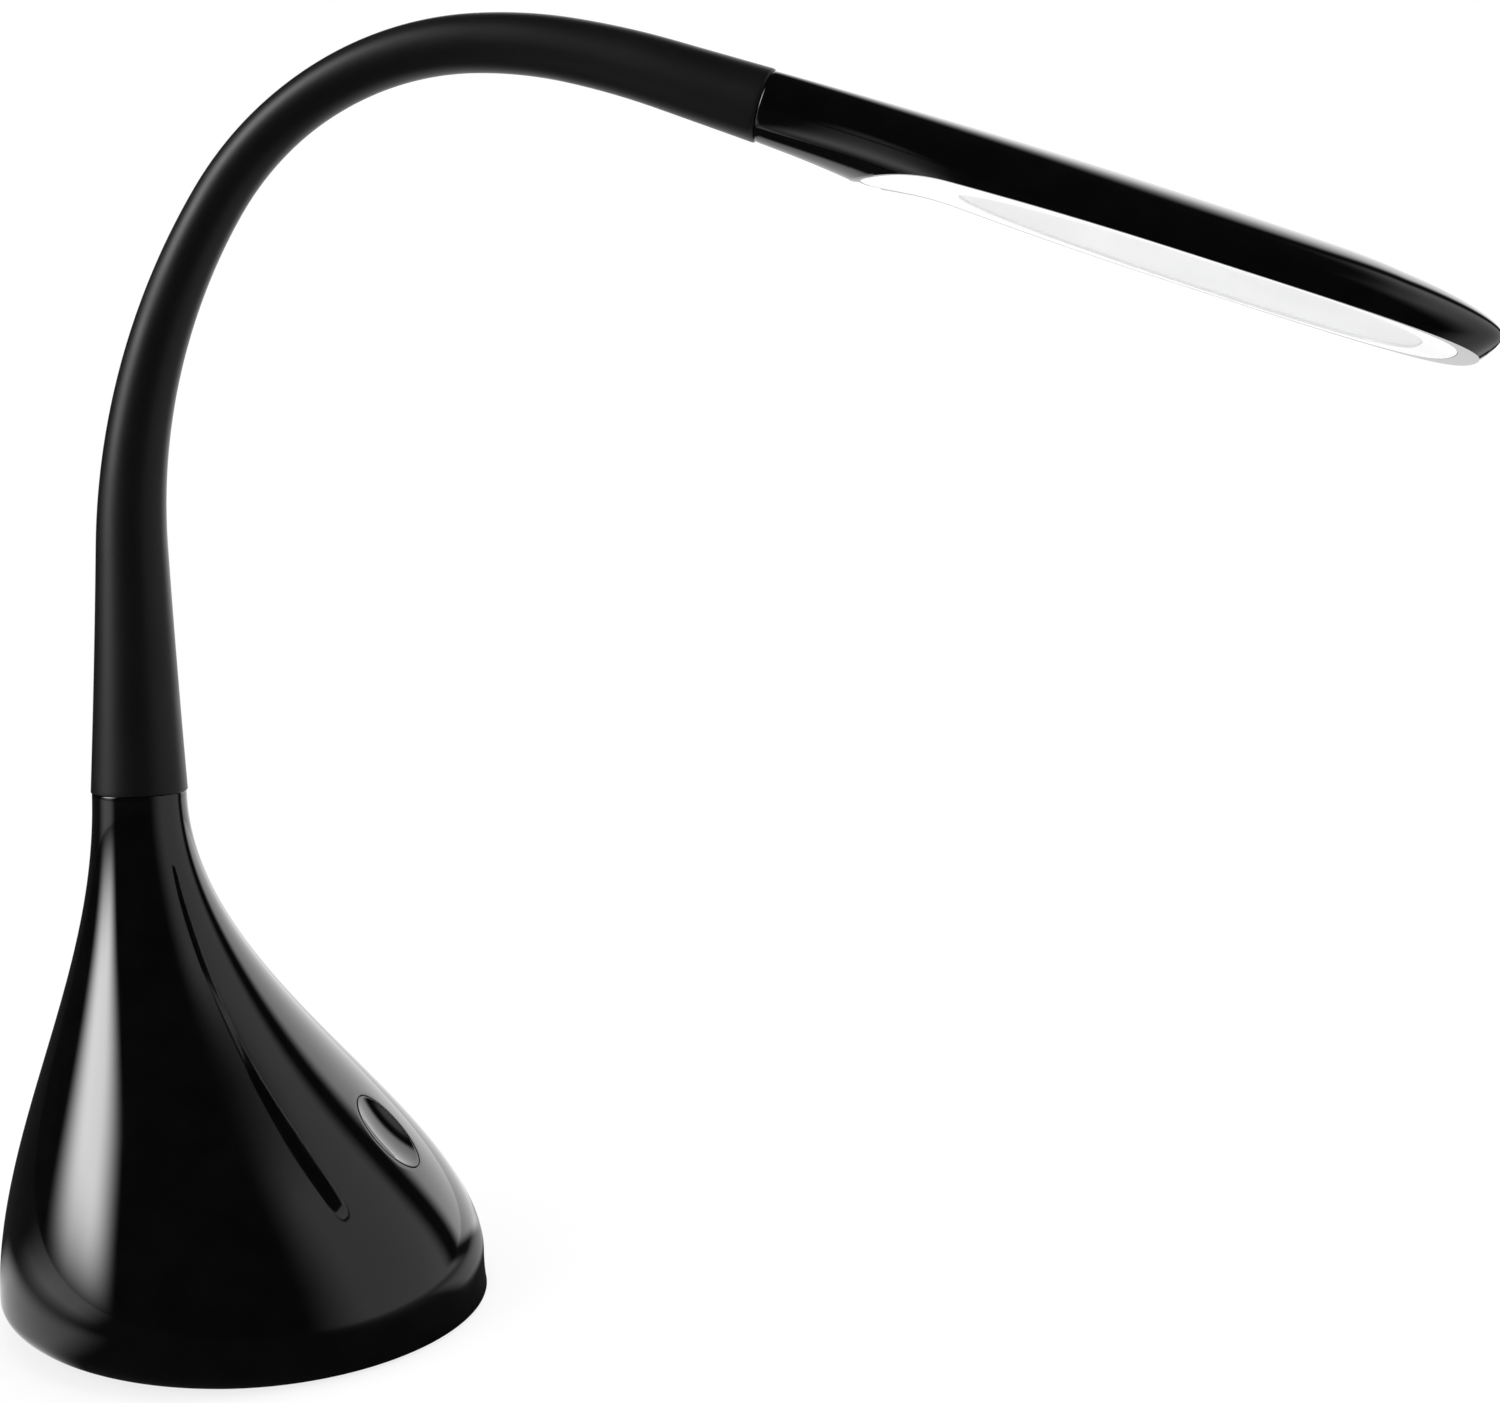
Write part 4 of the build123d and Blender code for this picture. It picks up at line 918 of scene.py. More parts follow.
@dataclass(frozen=True)
class DishedButton:
    """The oval push button: a shallow dish that follows the base's slope at its rim."""

    form: BellForm = BellForm()
    half_across: float = 8.1
    half_along: float = 12.35
    dish_depth: float = 1.8
    dish_along_radius: float = 45.0
    dish_across_radius: float = 24.0
    edge: float = 0.25
    soften: float = 0.12
    flange_rim: float = 1.3
    flange_top: float = 9.0
    flange_bottom: float = 10.2
    stem_radius: float = 2.2
    stem_end: float = 13.4
    columns: int = 96
    rings: int = 26
    rim_rings: int = 4

    def _dish(self, flat: Array) -> Array:
        """Height of the dish over the button's plane: a circle across, carried along a longer one.

        Args:
            flat: places on the button's plane.

        Returns:
            The height at each place.
        """
        cross = self.dish_across_radius - np.sqrt(self.dish_across_radius**2 - flat[..., 0] ** 2)
        run = self.dish_along_radius - cross
        return cross - self.dish_depth + run - np.sqrt(run**2 - flat[..., 1] ** 2)

    def cap(self) -> Piece:
        """The cap: the lower of bell and dish, with a rounded rim, a skirt, a flange and a stem.

        Returns:
            The cap.
        """
        plane = Opening(
            BUTTON_ORIGIN, SIDEWAYS, BUTTON_ALONG, BUTTON_NORMAL, self.half_across, self.half_along, self.edge
        )
        normal = np.array(BUTTON_NORMAL)
        shape = Shape()
        angle = turns(self.columns)
        face = plane.oval(angle, -self.edge)[None]
        flat = np.sin(quarter(self.rings))[:, None, None] * face
        on_bell = self.form.slide(plane.lift(flat), BUTTON_NORMAL)
        bell_height = (on_bell - plane.lift(flat)) @ normal
        gap = self._dish(flat) - bell_height
        lower = bell_height + 0.5 * (gap - np.sqrt(gap**2 + self.soften**2))
        top = shape.add(plane.lift(flat) + lower[..., None] * normal)
        bend = quarter(self.rim_rings)[1:, None, None]
        rim_flat = face + self.edge * np.sin(bend) * circle(angle)
        rim_height = lower[-1:, :, None] - self.edge * (1 - np.cos(bend))
        rim = shape.add(plane.lift(rim_flat) + rim_height * normal)
        flange = plane.oval(angle, self.flange_rim)
        stem = self.stem_radius * circle(angle)
        outlines = (
            (plane.oval(angle, 0.0), self.flange_top),
            (flange, self.flange_top),
            (flange, self.flange_bottom),
            (stem, self.flange_bottom),
            (stem, self.stem_end),
        )
        skirt = shape.add(np.stack([plane.lift(o) - depth * normal for o, depth in outlines]))
        shape.weave(np.concatenate([top, rim, skirt]), around=True)
        shape.close(skirt[-1])
        return shape.build("button_cap")

    def dress(self, shop: PaintShop) -> None:
        """Builds the cap and finishes the switch's plunger.

        Args:
            shop: what coats the pieces.
        """
        cap = self.cap()
        shop.hand_over(cap, Slot.BUTTON_BLACK, "switch_button")
        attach(cap, "button")
        shop.coat_nodes(Slot.WHITE_PLASTIC, "tact_plunger")


# ---- Neck ----


@dataclass(frozen=True)
class NeckLine:
    """The neck's line at rest: straight up, four arcs of (radius, degrees), then straight."""

    start_x: float = -36.47
    start_z: float = 142.0
    first_straight: float = 67.0
    arcs: tuple[Pair, ...] = ((166.0, 33.4), (85.0, 56.8), (123.0, 12.3), (224.0, 6.5))
    last_straight: float = 27.0

    def _runs(self) -> ArrayPair:
        """Where each run begins along the line, and the heading from upright there, in radians.

        Returns:
            The stations where the runs begin, with the end of the last one, and the headings.
        """
        radius, degrees = np.array(self.arcs).T
        bends = np.radians(degrees)
        lengths = np.concatenate([[self.first_straight], radius * bends, [self.last_straight]])
        headings = np.concatenate([[0.0, 0.0], np.cumsum(bends), [np.sum(bends)]])
        return np.concatenate([[0.0], np.cumsum(lengths)]), headings

    def length(self) -> float:
        """The line's whole length."""
        return float(self._runs()[0][-1])

    def heading(self, station: Array) -> Array:
        """Heading at a distance along the line: it grows evenly on an arc and holds on a straight."""
        starts, headings = self._runs()
        return np.interp(station, starts, headings)

    def point(self, station: Array) -> Array:
        """Place at a distance along the line: the headings' sines and cosines added up exactly.

        Over a run the sum is the run's length times the mean direction, which for an arc is the
        chord: (cos a - cos b, sin b - sin a) times the radius.

        Args:
            station: distances along the line.

        Returns:
            The points in the lamp's frame.
        """
        starts, headings = self._runs()
        begin, end = starts[:-1], starts[1:]
        inside = np.clip(station[..., None], begin, end)
        first, last = headings[:-1], self.heading(inside)
        bend = last - first
        straight = np.abs(bend) < TINY
        run = inside - begin
        radius = np.where(straight, 0.0, run / np.where(straight, 1.0, bend))
        dx = np.where(straight, run * np.sin(first), radius * (np.cos(first) - np.cos(last)))
        dz = np.where(straight, run * np.cos(first), radius * (np.sin(last) - np.sin(first)))
        x = self.start_x + dx.sum(axis=-1)
        z = self.start_z + dz.sum(axis=-1)
        return np.stack([x, 0 * x, z], axis=-1)


@dataclass(frozen=True)
class SoftNeck:
    """The soft sleeve in seven lengths, each of which covers one joint of the conduit."""

    line: NeckLine = NeckLine()
    segments: int = 8
    root_radius: float = 12.8
    waist_radius: float = 6.65
    end_radius: float = 9.35
    waist_station: float = 195.0
    root_power: float = 1.9
    end_power: float = 1.5
    bore_radius: float = 4.25
    cup_bore_radius: float = 5.65
    cup_reach: float = 10.25
    low_edge: float = 0.35
    low_edge_rows: int = 5
    high_edge: float = 0.9
    high_edge_rows: int = 7
    row_pitch: float = 1.3
    columns: int = 72
    bend_margin: float = 2.5

    def _radius(self, station: Array) -> Array:
        """Sleeve radius: a power curve down to the waist, another up to the head, rounded ends.

        Args:
            station: distances along the neck.

        Returns:
            The radius at each distance.
        """
        length = self.line.length()
        low = np.clip(1 - station / self.waist_station, 0.0, 1.0)
        high = np.clip((station - self.waist_station) / (length - self.waist_station), 0.0, 1.0)
        body = (
            self.waist_radius
            + (self.root_radius - self.waist_radius) * low**self.root_power
            + (self.end_radius - self.waist_radius) * high**self.end_power
        )
        body = body - self._round_off(station, self.low_edge)
        return body - self._round_off(length - station, self.high_edge)

    @staticmethod
    def _round_off(depth: Array, edge: float) -> Array:
        """How far a rounded end draws in at a depth from it: a quarter circle of the edge's size."""
        rest = edge - np.clip(depth, 0.0, edge)
        return edge - np.sqrt(np.maximum(edge**2 - rest**2, 0.0))

    def _stations(self, start: float, end: float) -> Array:
        """Rows along one length, with close rows where an end is rounded.

        Args:
            start: where the length begins along the neck.
            end: where it ends.

        Returns:
            The rows' distances along the neck.
        """
        length = self.line.length()
        count = math.ceil((end - start) / self.row_pitch)
        rows = np.linspace(start, end, count + 1)
        low = self.low_edge * (1 - np.cos(quarter(self.low_edge_rows)))
        high = length - self.high_edge * (1 - np.cos(quarter(self.high_edge_rows)))
        close = np.concatenate([low, high])
        return np.unique(np.concatenate([rows, close[(close >= start) & (close <= end)]]))

    def _span(self, number: int) -> Pair:
        """Stations of the middles of a segment and of the next one."""
        pitch = self.line.length() / self.segments
        return (number - 0.5) * pitch, (number + 0.5) * pitch

    def _bore(self, number: int, start: float, end: float) -> tuple[list[float], list[float]]:
        """The bore's profile downwards, with a wider cup at the foot and at the head.

        Args:
            number: the length's number, from 1 at the base.
            start: where the length begins along the neck.
            end: where it ends.

        Returns:
            Stations along the neck and the radius at each.
        """
        low, high = self.cup_reach, self.line.length() - self.cup_reach
        bore, cup = self.bore_radius, self.cup_bore_radius
        if number == 1:
            return [end, low, low, start], [bore, bore, cup, cup]
        if number == self.segments - 1:
            return [end, high, high, start], [cup, cup, bore, bore]
        return [end, start], [bore, bore]

    def sleeve(self, number: int) -> Piece:
        """One length of sleeve, from the middle of a segment to the middle of the next.

        The outside runs up and the bore runs back, and that closed profile is carried round the
        neck's line: the line's place plus the radius along the square direction and sideways.

        Args:
            number: the length's number, from 1 at the base.

        Returns:
            The sleeve, made at rest.
        """
        start, end = self._span(number)
        if number == 1:
            start = 0.0
        if number == self.segments - 1:
            end = self.line.length()
        up = self._stations(start, end)
        back, bore = self._bore(number, start, end)
        station = np.concatenate([up, back, up[:1]])
        radius = np.concatenate([self._radius(up), bore, self._radius(up[:1])])
        around = turns(self.columns)
        heading = self.line.heading(station)
        square = np.stack([np.cos(heading), 0 * heading, -np.sin(heading)], axis=-1)
        out = square[:, None] * np.cos(around)[None, :, None]
        out = out + np.array(SIDEWAYS) * np.sin(around)[None, :, None]
        points = self.line.point(station)[:, None] + radius[:, None, None] * out
        thing = woven(f"soft_sleeve_{number}", points, around=True)
        places = np.empty(3 * len(thing.data.vertices), np.float32)
        thing.data.vertices.foreach_get("co", places)
        rest = thing.data.attributes.new(REST_PLACE, "FLOAT_VECTOR", "POINT")
        rest.data.foreach_set("vector", places)
        return thing

    def dress(self, shop: PaintShop) -> None:
        """Builds the sleeves and finishes conduit and lead.

        Args:
            shop: what coats the pieces.
        """
        for number in range(1, self.segments):
            sleeve = self.sleeve(number)
            nodes = [f"neck_sleeve_{number}"]
            if number == self.segments - 1:
                nodes.append(f"neck_sleeve_{self.segments}")
            shop.hand_over(sleeve, Slot.SOFT_BLACK, *nodes)
            start, end = self._span(number)
            bend = np.array([start + self.bend_margin, end - self.bend_margin])
            low, high = self.line.point(bend) * MM
            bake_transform(sleeve)
        for slot, node in ((Slot.CONDUIT_STEEL, "neck_conduit"), (Slot.LEAD_BLACK, "neck_lead")):
            shop.coat_nodes(slot, *(f"{node}_{number}" for number in range(1, self.segments + 1)))


# ---- Head ----


@dataclass(frozen=True)
class HeadForm:
    """The head's outside in its own directions: u along it from the neck, y sideways, h up."""

    seam: Triple = (138.371, 0.0, 319.989)
    axis: Triple = (0.945519, 0.0, -0.325568)
    up: Triple = (0.325568, 0.0, 0.945519)
    length: float = 188.3
    end_radius: float = 9.2
    half_width: float = 27.6
    flare_length: float = 110.0
    flare_power: float = 0.75
    waist_power: float = 1.1
    widest: float = 125.0
    nose_power: float = 2.8
    nose_cut: float = 1.3
    crown: float = 9.0
    arch: float = 1.3
    arch_length: float = 160.0
    arch_power: float = 0.8
    fall_start: float = 145.0
    waist_drop: float = 5.5
    chin_start: float = 165.0
    chin_lift: float = 5.5
    underside: float = -6.6
    scoop: tuple[Pair, ...] = ((22.0, -11.6), (31.0, -10.8), (38.0, -6.6), (52.0, -6.6))
    scoop_steps: int = 200
    never: float = -99.0

    def place(self, u: Array, y: Array, h: Array) -> Array:
        """Points in the lamp's frame from the head's own directions.

        Args:
            u: distances along the head.
            y: distances sideways.
            h: distances up.

        Returns:
            The points.
        """
        u, y, h = np.broadcast_arrays(u, y, h)
        steps = u[..., None] * np.array(self.axis) + h[..., None] * np.array(self.up)
        return np.array(self.seam) + steps + y[..., None] * np.array(SIDEWAYS)

    def _flare(self, u: Array, power: float) -> Array:
        """Growth from the round neck end: a squared sine of a power of the way."""
        return np.sin(np.pi / 2 * np.minimum(u / self.flare_length, 1.0) ** power) ** 2

    def half_width_at(self, u: Array) -> Array:
        """Half the width: the flare, then a blunt oval to the nose.

        Args:
            u: stations along the head.

        Returns:
            Half the width at each.
        """
        body = self.end_radius + (self.half_width - self.end_radius) * self._flare(u, self.flare_power)
        share = np.clip((u - self.widest) / (self.length - self.widest), 0.0, 1.0)
        return body * (1 - share**self.nose_power) ** (1 / self.nose_power)

    def crown_at(self, u: Array) -> Array:
        """Height of the top line: a slight arch, then a quarter ellipse down to the nose.

        Args:
            u: stations along the head.

        Returns:
            The height at each.
        """
        arch = np.maximum(np.sin(np.pi * u / self.arch_length), 0.0) ** self.arch_power
        fall = np.clip((u - self.fall_start) / (self.length - self.fall_start), 0.0, 1.0)
        return (self.crown + self.arch * arch) * np.sqrt(1 - fall**2)

    def waist_at(self, u: Array) -> Array:
        """Height of the widest line: it drops with the flare and lifts at the chin."""
        lift = np.maximum(u - self.chin_start, 0.0) / (self.length - self.chin_start)
        return self.chin_lift * lift**2 - self.waist_drop * self._flare(u, self.waist_power)

    def cut_at(self, u: Array) -> Array:
        """Height of the flat underside, with the scoop's curve where it leaves the neck end.

        Args:
            u: stations along the head.

        Returns:
            The height at each.
        """
        t = np.linspace(0, 1, self.scoop_steps)[:, None]
        p = np.array(self.scoop)
        curve = (1 - t) ** 3 * p[0] + 3 * t * (1 - t) ** 2 * p[1] + 3 * t**2 * (1 - t) * p[2] + t**3 * p[3]
        return np.interp(u, curve[:, 0], curve[:, 1], left=self.never, right=self.underside)

    def edge_angle(self, u: Array, inset: float | Array, raised: float) -> Array:
        """Angle below the waist at which the opening starts.

        Args:
            u: stations along the head.
            inset: how far the section is drawn in.
            raised: height over the underside at which the edge is wanted.

        Returns:
            The angle where the section meets the raised underside, or the lowest point where the
            head is still closed.
        """
        middle = self.waist_at(u)
        rise = self.crown_at(u) - middle - inset
        return np.arcsin(np.clip((self.cut_at(u) + raised - middle) / rise, -1.0, 1.0))

    def section(self, u: Array, angle: Array, inset: Array, raised: float) -> ArrayPair:
        """An ellipse cut flat below: y is the half width times -cosine, h the waist plus rise times sine.

        Args:
            u: stations along the head.
            angle: angles round the section from the waist.
            inset: how far the section is drawn in.
            raised: height over the underside at which it is cut.

        Returns:
            The places y and h.
        """
        middle = self.waist_at(u)
        y = -(self.half_width_at(u) - inset) * np.cos(angle)
        h = middle + (self.crown_at(u) - middle - inset) * np.sin(angle)
        return y, np.maximum(h, self.cut_at(u) + raised)

    def pulled(self, u: Array, nose_inset: float) -> Array:
        """Stations drawn back towards the widest one, by the inset at the nose."""
        return u - nose_inset * np.maximum(u - self.widest, 0.0) / (self.length - self.widest)


@dataclass(frozen=True)
class FlatHead:
    """The gloss head shell with its white tray, frosted lens and LED board.

    row_spans tell where each run of evenly spaced sections ends and how many it has.
    """

    form: HeadForm = HeadForm()
    wall: float = 2.0
    lip: float = 0.8
    pocket: float = 1.7
    pocket_nose: float = 5.0
    cavity_nose: float = 7.0
    neck_edge: float = 0.5
    nose_edge: float = 0.7
    tray_gap: float = 0.1
    tray_thickness: float = 1.6
    window_half_width: float = 24.2
    window_neck: float = 71.4
    window_nose: float = 46.0
    window_round: float = 0.25
    ledge_width: float = 1.0
    ledge_thickness: float = 0.6
    lens_thickness: float = 1.5
    lens_middle: float = 115.0
    bevel_share: float = 0.3
    row_spans: tuple[tuple[float, int], ...] = ((16.0, 15), (52.0, 90), (150.0, 65))
    nose_rows: int = 60
    end_rows: int = 4
    arc_columns: int = 96
    outline_points: int = 288
    outline_steps: int = 4000
    narrowest: float = 1e-3
    rings: int = 12

    def _rows(self) -> ArrayPair:
        """Stations of the sections and how far each is drawn in, for the rounded ends.

        Returns:
            The stations and the inset of each.
        """
        form = self.form
        end = form.length - form.nose_cut
        start = self.neck_edge
        spans = [np.array([start])]
        for stop, count in self.row_spans:
            spans.append(np.linspace(start, stop, count + 1)[1:])
            start = stop
        spans.append(start + (end - self.nose_edge - start) * np.sin(quarter(self.nose_rows))[1:])
        body = np.concatenate(spans)
        bend = quarter(self.end_rows)
        start_u = self.neck_edge * (1 - np.sin(bend[:0:-1]))
        start_inset = self.neck_edge * (1 - np.cos(bend[:0:-1]))
        end_u = end - self.nose_edge * (1 - np.sin(bend[1:]))
        end_inset = self.nose_edge * (1 - np.cos(bend[1:]))
        stations = np.concatenate([start_u, body, end_u])
        return stations, np.concatenate([start_inset, 0 * body, end_inset])

    def _arc(self, u: Array, inset: Array, raised: float, nose_inset: float) -> Array:
        """Arcs over the top of the sections, from the underside's edge to its other edge.

        Args:
            u: stations along the head.
            inset: how far each section is drawn in.
            raised: height over the underside at which the arcs end.
            nose_inset: how far the nose is drawn back.

        Returns:
            The points, one row for each section.
        """
        low = self.form.edge_angle(u, inset, raised)[:, None]
        across = np.linspace(0, 1, self.arc_columns + 1)
        angle = low + across * (np.pi - 2 * low)
        y, h = self.form.section(u[:, None], angle, inset[:, None], raised)
        return self.form.place(self.form.pulled(u, nose_inset)[:, None], y, h)

    def _lip_lines(self, u: Array, raised: float) -> ArrayPair:
        """The place on the piece: its Object coordinates, or the place at rest that the mesh keeps.

        Args:
            u: stations along the head.
            raised: height over the underside.

        Returns:
            The line at negative y and the line at positive y.
        """
        inset = np.full_like(u, self.lip)
        y, _ = self.form.section(u, self.form.edge_angle(u, inset, raised), inset, raised)
        h = self.form.cut_at(u) + raised
        along = self.form.pulled(u, self.pocket_nose)
        return self.form.place(along, y, h), self.form.place(along, -y, h)

    def shell(self) -> Piece:
        """The shell: outer and inner arcs over the head, joined by a lip round the open underside.

        Returns:
            The shell.
        """
        form = self.form
        u, inset = self._rows()
        shape = Shape()
        outside = self._arc(u, inset, 0.0, 0.0)
        inside = self._arc(np.maximum(u, 0.0), np.full_like(u, self.wall), self.pocket, self.cavity_nose)
        outer, inner = shape.add(outside), shape.add(inside)
        shape.weave(outer)
        shape.weave(inner)
        closed = form.edge_angle(u, inset, 0.0) <= -np.pi / 2 + TOUCHING
        open_rows = np.flatnonzero(~closed)
        span = slice(open_rows[0] - 1, open_rows[-1] + 2)
        low_lines, high_lines = self._lip_lines(u[span], 0.0), self._lip_lines(u[span], self.pocket)
        for column, low, high in zip((0, -1), low_lines, high_lines):
            edge = np.stack([outside[span, column], low, high, inside[span, column]], axis=1)
            apart = np.abs(edge[..., 1]) > TOUCHING
            keep = apart[:-1, :-1] | apart[:-1, 1:] | apart[1:, 1:] | apart[1:, :-1]
            shape.weave(shape.add(edge), keep=keep)
        shape.weave(np.stack([outer[0], inner[0]]))
        middle = form.place(u[-1:], 0.0, form.waist_at(u[-1:]))
        shape.weave(shape.add(np.stack([outside[-1], np.tile(middle, (outer.shape[1], 1))])))
        cavity_end = form.place(form.pulled(u[-1:], self.cavity_nose), 0.0, form.waist_at(u[-1:]))
        shape.weave(shape.add(np.stack([inside[-1], np.tile(cavity_end, (inner.shape[1], 1))])))
        return shape.build("head_gloss_shell")

    def _window(self, grow: float) -> ArrayPair:
        """The window's outline: half an ellipse to the neck, a blunter half oval to the nose.

        Args:
            grow: how far the outline is grown all round.

        Returns:
            U and y of the outline's points.
        """
        t = turns(self.outline_points)
        cos, sin = np.cos(t), np.sin(t)
        power = np.where(cos > 0, 2 / self.form.nose_power, 1.0)
        reach = np.where(cos > 0, self.window_nose, self.window_neck) + grow
        u = self.form.widest + reach * np.sign(cos) * np.abs(cos) ** power
        return u, (self.window_half_width + grow) * np.sign(sin) * np.abs(sin) ** power

    def _tray_outline(self, raised: float) -> ArrayPair:
        """The tray's outline: the inset section's width where it meets the underside.

        Args:
            raised: height over the underside.

        Returns:
            U and y of the outline's points.
        """
        inset = self.lip + self.tray_gap
        fine = np.linspace(self.form.scoop[0][0], self.form.length - self.form.nose_cut, self.outline_steps)
        y, _ = self.form.section(fine, self.form.edge_angle(fine, inset, raised), inset, raised)
        wide = fine[-y > self.narrowest]
        t = turns(self.outline_points)
        cos = np.cos(t)
        reach = np.where(cos > 0, wide[-1] - self.form.widest, self.form.widest - wide[0])
        u = self.form.widest + reach * cos
        side = np.interp(u, fine, -y) * np.sign(np.sin(t))
        side = np.where(np.abs(cos) > 1 - TINY, 0.0, side)
        return self.form.pulled(u, self.pocket_nose + self.tray_gap), side

    @staticmethod
    def _spread(inner: ArrayPair, outer: ArrayPair, share: Array) -> ArrayPair:
        """Outlines between two others, at shares of the way from the inner to the outer one."""
        u, y = ((1 - share) * low + share * high for low, high in zip(inner, outer))
        return u, y

    def tray(self) -> Piece:
        """The white tray: a thin band from the window's edge out to the shell's lip.

        Returns:
            The tray.
        """
        form = self.form
        window, ledge = self._window(0.0), self._window(self.ledge_width)
        floor = form.underside
        round_off = self.window_round
        bevel = self.bevel_share * round_off
        share = np.linspace(0, 1, self.rings + 1)[:, None]
        plan_u, plan_y = self._spread(self._window(round_off), self._tray_outline(0.0), share)
        back_u, back_y = self._spread(ledge, self._tray_outline(self.tray_thickness), share[::-1])
        edge = form.place(*window, floor + round_off)[None]
        rings = (
            edge,
            form.place(*self._window(bevel), floor + bevel)[None],
            form.place(plan_u, plan_y, form.cut_at(plan_u)),
            form.place(back_u, back_y, form.cut_at(back_u) + self.tray_thickness),
            form.place(*ledge, floor + self.ledge_thickness)[None],
            form.place(*window, floor + self.ledge_thickness)[None],
            edge,
        )
        return woven("white_tray", np.concatenate(rings), around=True)

    def lens(self) -> Piece:
        """The frosted lens: a flat oval plate that rests on the tray's ledge.

        Returns:
            The lens.
        """
        form = self.form
        edge_u, edge_y = self._window(self.ledge_width - self.tray_gap)
        share = np.linspace(0, 1, self.rings + 1)[:, None]
        plan_u = self.lens_middle + share * (edge_u - self.lens_middle)
        plan_y = share * edge_y
        bottom = form.underside + self.ledge_thickness
        top = bottom + self.lens_thickness
        sides = (form.place(plan_u, plan_y, bottom), form.place(plan_u[::-1], plan_y[::-1], top))
        return woven("frosted_lens", np.concatenate(sides), around=True)

    def dress(self, shop: PaintShop) -> None:
        """Builds shell, tray and lens and finishes every node of the head.

        Args:
            shop: what coats the pieces.
        """
        for thing, slot, node in (
            (self.shell(), Slot.GLOSS_BLACK, "head_shell"),
            (self.tray(), Slot.WHITE_PLASTIC, "head_tray"),
            (self.lens(), Slot.FROSTED_WHITE, "diffuser"),
        ):
            shop.hand_over(thing, slot, node)
            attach(thing, "head")
        shop.coat_nodes(Slot.LED_BOARD_WHITE, "led_board")
        shop.coat_nodes(Slot.LED_YELLOW, "leds")
        shop.coat_nodes(Slot.ALUMINIUM, "heat_spreader")
        shop.coat_nodes(Slot.SCREW_STEEL, "led_board_screws", "upper_ferrule_nut")
        shop.coat_nodes(Slot.NICKEL, "upper_ferrule")
        shop.coat_nodes(Slot.WHITE_PLASTIC, "lead_connector")
        shop.coat_nodes(Slot.LEAD_BLACK, "head_lead")


# ---- Studio ----


@dataclass(frozen=True)
class Band:
    """A soft-edged bright stretch of the studio: a strip of light round it, or a painted pool of light on the
    floor.

    Bearings are in degrees: 0 is straight behind the lamp and 90 is to its right. Low and high are
    elevations in degrees on the surroundings, and distances from the lamp in metres on the floor.
    Each edge fades between its two numbers.
    """

    value: float
    left: Pair
    right: Pair
    low: Pair = (-92.0, -91.0)
    high: Pair = (91.0, 92.0)


@dataclass(frozen=True)
class SoftLamp:
    """A large soft lamp that lights matt surfaces and stays out of the mirror images."""

    name: str
    place: Triple
    aim: Triple
    size: float
    watts: float

    def build(self) -> None:
        """Makes the lamp at its place, turned to the point that it faces."""
        data = bpy.data.lights.new(self.name, "AREA")
        data.size = self.size * MM
        data.energy = self.watts
        thing = set_out(self.name, data)
        thing.location = Vector(self.place) * MM
        thing.rotation_euler = (Vector(self.aim) - Vector(self.place)).to_track_quat("-Z", "Y").to_euler()
        thing.visible_glossy = False
        thing.visible_camera = False


